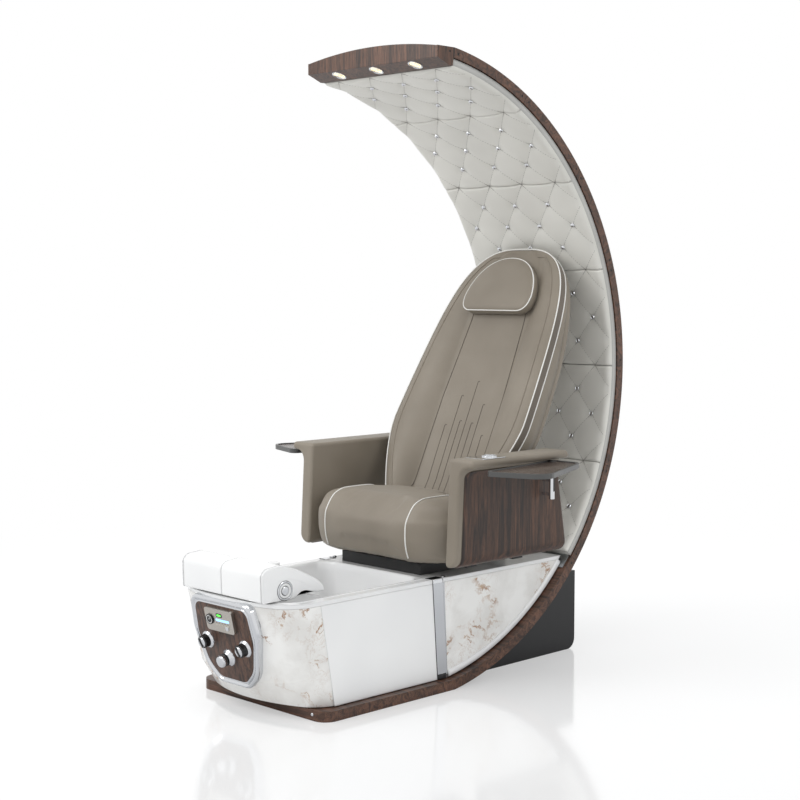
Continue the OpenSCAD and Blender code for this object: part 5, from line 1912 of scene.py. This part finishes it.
    def build(self) -> None:
        """Builds the arms and dresses the trays."""
        for side, label in ((1, "left"), (-1, "right")):
            piece = self.arm(side)
            fit(piece, TAUPE, "base")
            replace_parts(piece, f"arm_{label}")
            wood, outline = self.panel(side)
            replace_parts(fit(wood, WALNUT_FACE, "base"), f"arm_cladding_{label}")
            # A dark tube painted as shade in the gap round the veneer's front and top edges.
            fit(tube(f"veneer_gap_shade_{label}", outline, 0.0011, sides=6), SEAM_SHADE, "base")
            self.tray_top(side)
        dress(self.nodes, ["arm_plate", "tray_post_left", "tray_post_right"], CHROME)
        dress(self.nodes, ["tray_left", "tray_right"], GRAPHITE)


@dataclass
class Studio:
    """Floor, lights and camera."""

    camera_at: Point = (3.9175, -3.8981, 1.400)
    pitch: float = 85.649
    turn: float = 45.31
    lens: float = 69.64
    floor_colour: str = "#b0b0b0"
    floor_glow: float = 0.42
    mirrored_colour: str = "#dcdcdd"
    bounce_colour: str = "#f4f4f4"
    near_r: float = 1.3
    far_r: float = 3.6
    reach: float = 30.0
    world_strength: float = 0.62
    lamp_target: Point = (0, -0.1, 0.9)

    def floor(self) -> None:
        """A large pale floor that keeps shadows and a soft reflection."""
        r = self.reach
        made = new_mesh("studio_floor", [(-r, -r, 0), (r, -r, 0), (r, r, 0), (-r, r, 0)], [(0, 1, 2, 3)], smooth=False)
        mat = bpy.data.materials.new("studio floor")
        mat.use_nodes = True
        tree = mat.node_tree
        tree.nodes.clear()
        path = add(tree, "ShaderNodeLightPath")
        place = add(tree, "ShaderNodeTexCoord")
        away = add(tree, "ShaderNodeVectorMath", {}, {0: (place, "Object")}, operation="LENGTH")
        far = add(tree, "ShaderNodeMapRange", {1: self.near_r, 2: self.far_r, 3: 0.0, 4: 1.0}, {0: (away, "Value")},
                  interpolation_type="SMOOTHSTEP")
        bounce = add(tree, "ShaderNodeBsdfDiffuse", {"Color": linear(self.bounce_colour)})
        gloss = add(tree, "ShaderNodeBsdfPrincipled", {"Base Color": linear(self.floor_colour), "Roughness": 0.10,
                                                       "Specular IOR Level": 0.5})
        glow = add(tree, "ShaderNodeEmission", {"Color": (1, 1, 1, 1), "Strength": self.floor_glow})
        near = add(tree, "ShaderNodeAddShader", {}, {0: (gloss, 0), 1: (glow, 0)})
        white = add(tree, "ShaderNodeEmission", {"Color": (1, 1, 1, 1), "Strength": 1.0})
        mirrored = add(tree, "ShaderNodeBsdfDiffuse", {"Color": linear(self.mirrored_colour)})
        unseen = add(tree, "ShaderNodeMixShader", {}, {0: (path, "Is Glossy Ray"), 1: (bounce, 0), 2: (mirrored, 0)})
        close = add(tree, "ShaderNodeMixShader", {}, {0: (path, "Is Camera Ray"), 1: (unseen, 0), 2: (near, 0)})
        sight = add(tree, "ShaderNodeMath", {}, {0: (path, "Is Camera Ray"), 1: (path, "Is Glossy Ray")},
                    operation="MAXIMUM")
        fade = add(tree, "ShaderNodeMath", {}, {0: (sight, 0), 1: (far, 0)}, operation="MULTIPLY")
        both = add(tree, "ShaderNodeMixShader", {}, {0: (fade, 0), 1: (close, 0), 2: (white, 0)})
        add(tree, "ShaderNodeOutputMaterial", links={"Surface": (both, 0)})
        made.data.materials.append(mat)

    def world(self) -> None:
        """A pale surround, pure white to the camera."""
        world = bpy.data.worlds.new("studio")
        bpy.context.scene.world = world
        world.use_nodes = True
        tree = world.node_tree
        tree.nodes.clear()
        soft = add(tree, "ShaderNodeBackground", {"Color": (0.96, 0.98, 1.0, 1), "Strength": self.world_strength})
        white = add(tree, "ShaderNodeBackground", {"Color": (1, 1, 1, 1), "Strength": 1.0})
        path = add(tree, "ShaderNodeLightPath")
        mirrored = add(tree, "ShaderNodeMath", {}, {0: (path, "Is Camera Ray"), 1: (path, "Is Glossy Ray")},
                       operation="MAXIMUM")
        clear = add(tree, "ShaderNodeMath", {}, {0: (mirrored, 0), 1: (path, "Is Transmission Ray")},
                    operation="MAXIMUM")
        seen = add(tree, "ShaderNodeMixShader", {}, {0: (clear, 0), 1: (soft, 0), 2: (white, 0)})
        add(tree, "ShaderNodeOutputWorld", links={"Surface": (seen, 0)})

    def lamp(self, name: str, at: Point, size: float, power: float) -> None:
        """A square soft light aimed at the chair.

        Args:
            name: its name.
            at: its place.
            size: its width.
            power: its power in watts.
        """
        data = bpy.data.lights.new(name, "AREA")
        data.energy, data.size = power, size
        made = bpy.data.objects.new(name, data)
        made.location = at
        made.rotation_euler = (Vector(self.lamp_target) - Vector(at)).to_track_quat("-Z", "Y").to_euler()
        bpy.context.scene.collection.objects.link(made)

    def camera(self) -> None:
        """The camera."""
        data = bpy.data.cameras.new("camera")
        data.lens, data.sensor_width = self.lens, 36.0
        made = bpy.data.objects.new("camera", data)
        made.location = self.camera_at
        made.rotation_euler = (math.radians(self.pitch), 0, math.radians(self.turn))
        bpy.context.scene.collection.objects.link(made)
        bpy.context.scene.camera = made

    def build(self) -> None:
        """Sets up the studio."""
        self.camera()
        self.floor()
        self.world()
        self.lamp("key_light", (-1.6, -3.6, 3.6), 2.6, 95)
        self.lamp("side_light", (4.2, 0.6, 2.4), 2.2, 30)
        self.lamp("top_light", (0.4, -0.6, 4.6), 3.0, 60)
        bpy.context.scene.view_settings.view_transform = "Standard"


def corners(bounds: Sequence[Sequence[float]]) -> list[list[float]]:
    """A box's corners as plain lists."""
    return [[float(v) for v in corner] for corner in bounds]


def main() -> None:
    """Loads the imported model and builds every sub-assembly around it."""
    logging.basicConfig(level=logging.INFO, format="%(message)s")
    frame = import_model()
    nodes = frame["nodes"]
    for part in (Studio(), Arch(nodes), Tub(nodes), Controls(nodes), Footrest(nodes), Seat(nodes), Back(nodes),
                 Arms(nodes)):
        part.build()
        log.info("%s is built", type(part).__name__)
    bpy.context.view_layer.update()


if __name__ == "__main__":
    main()
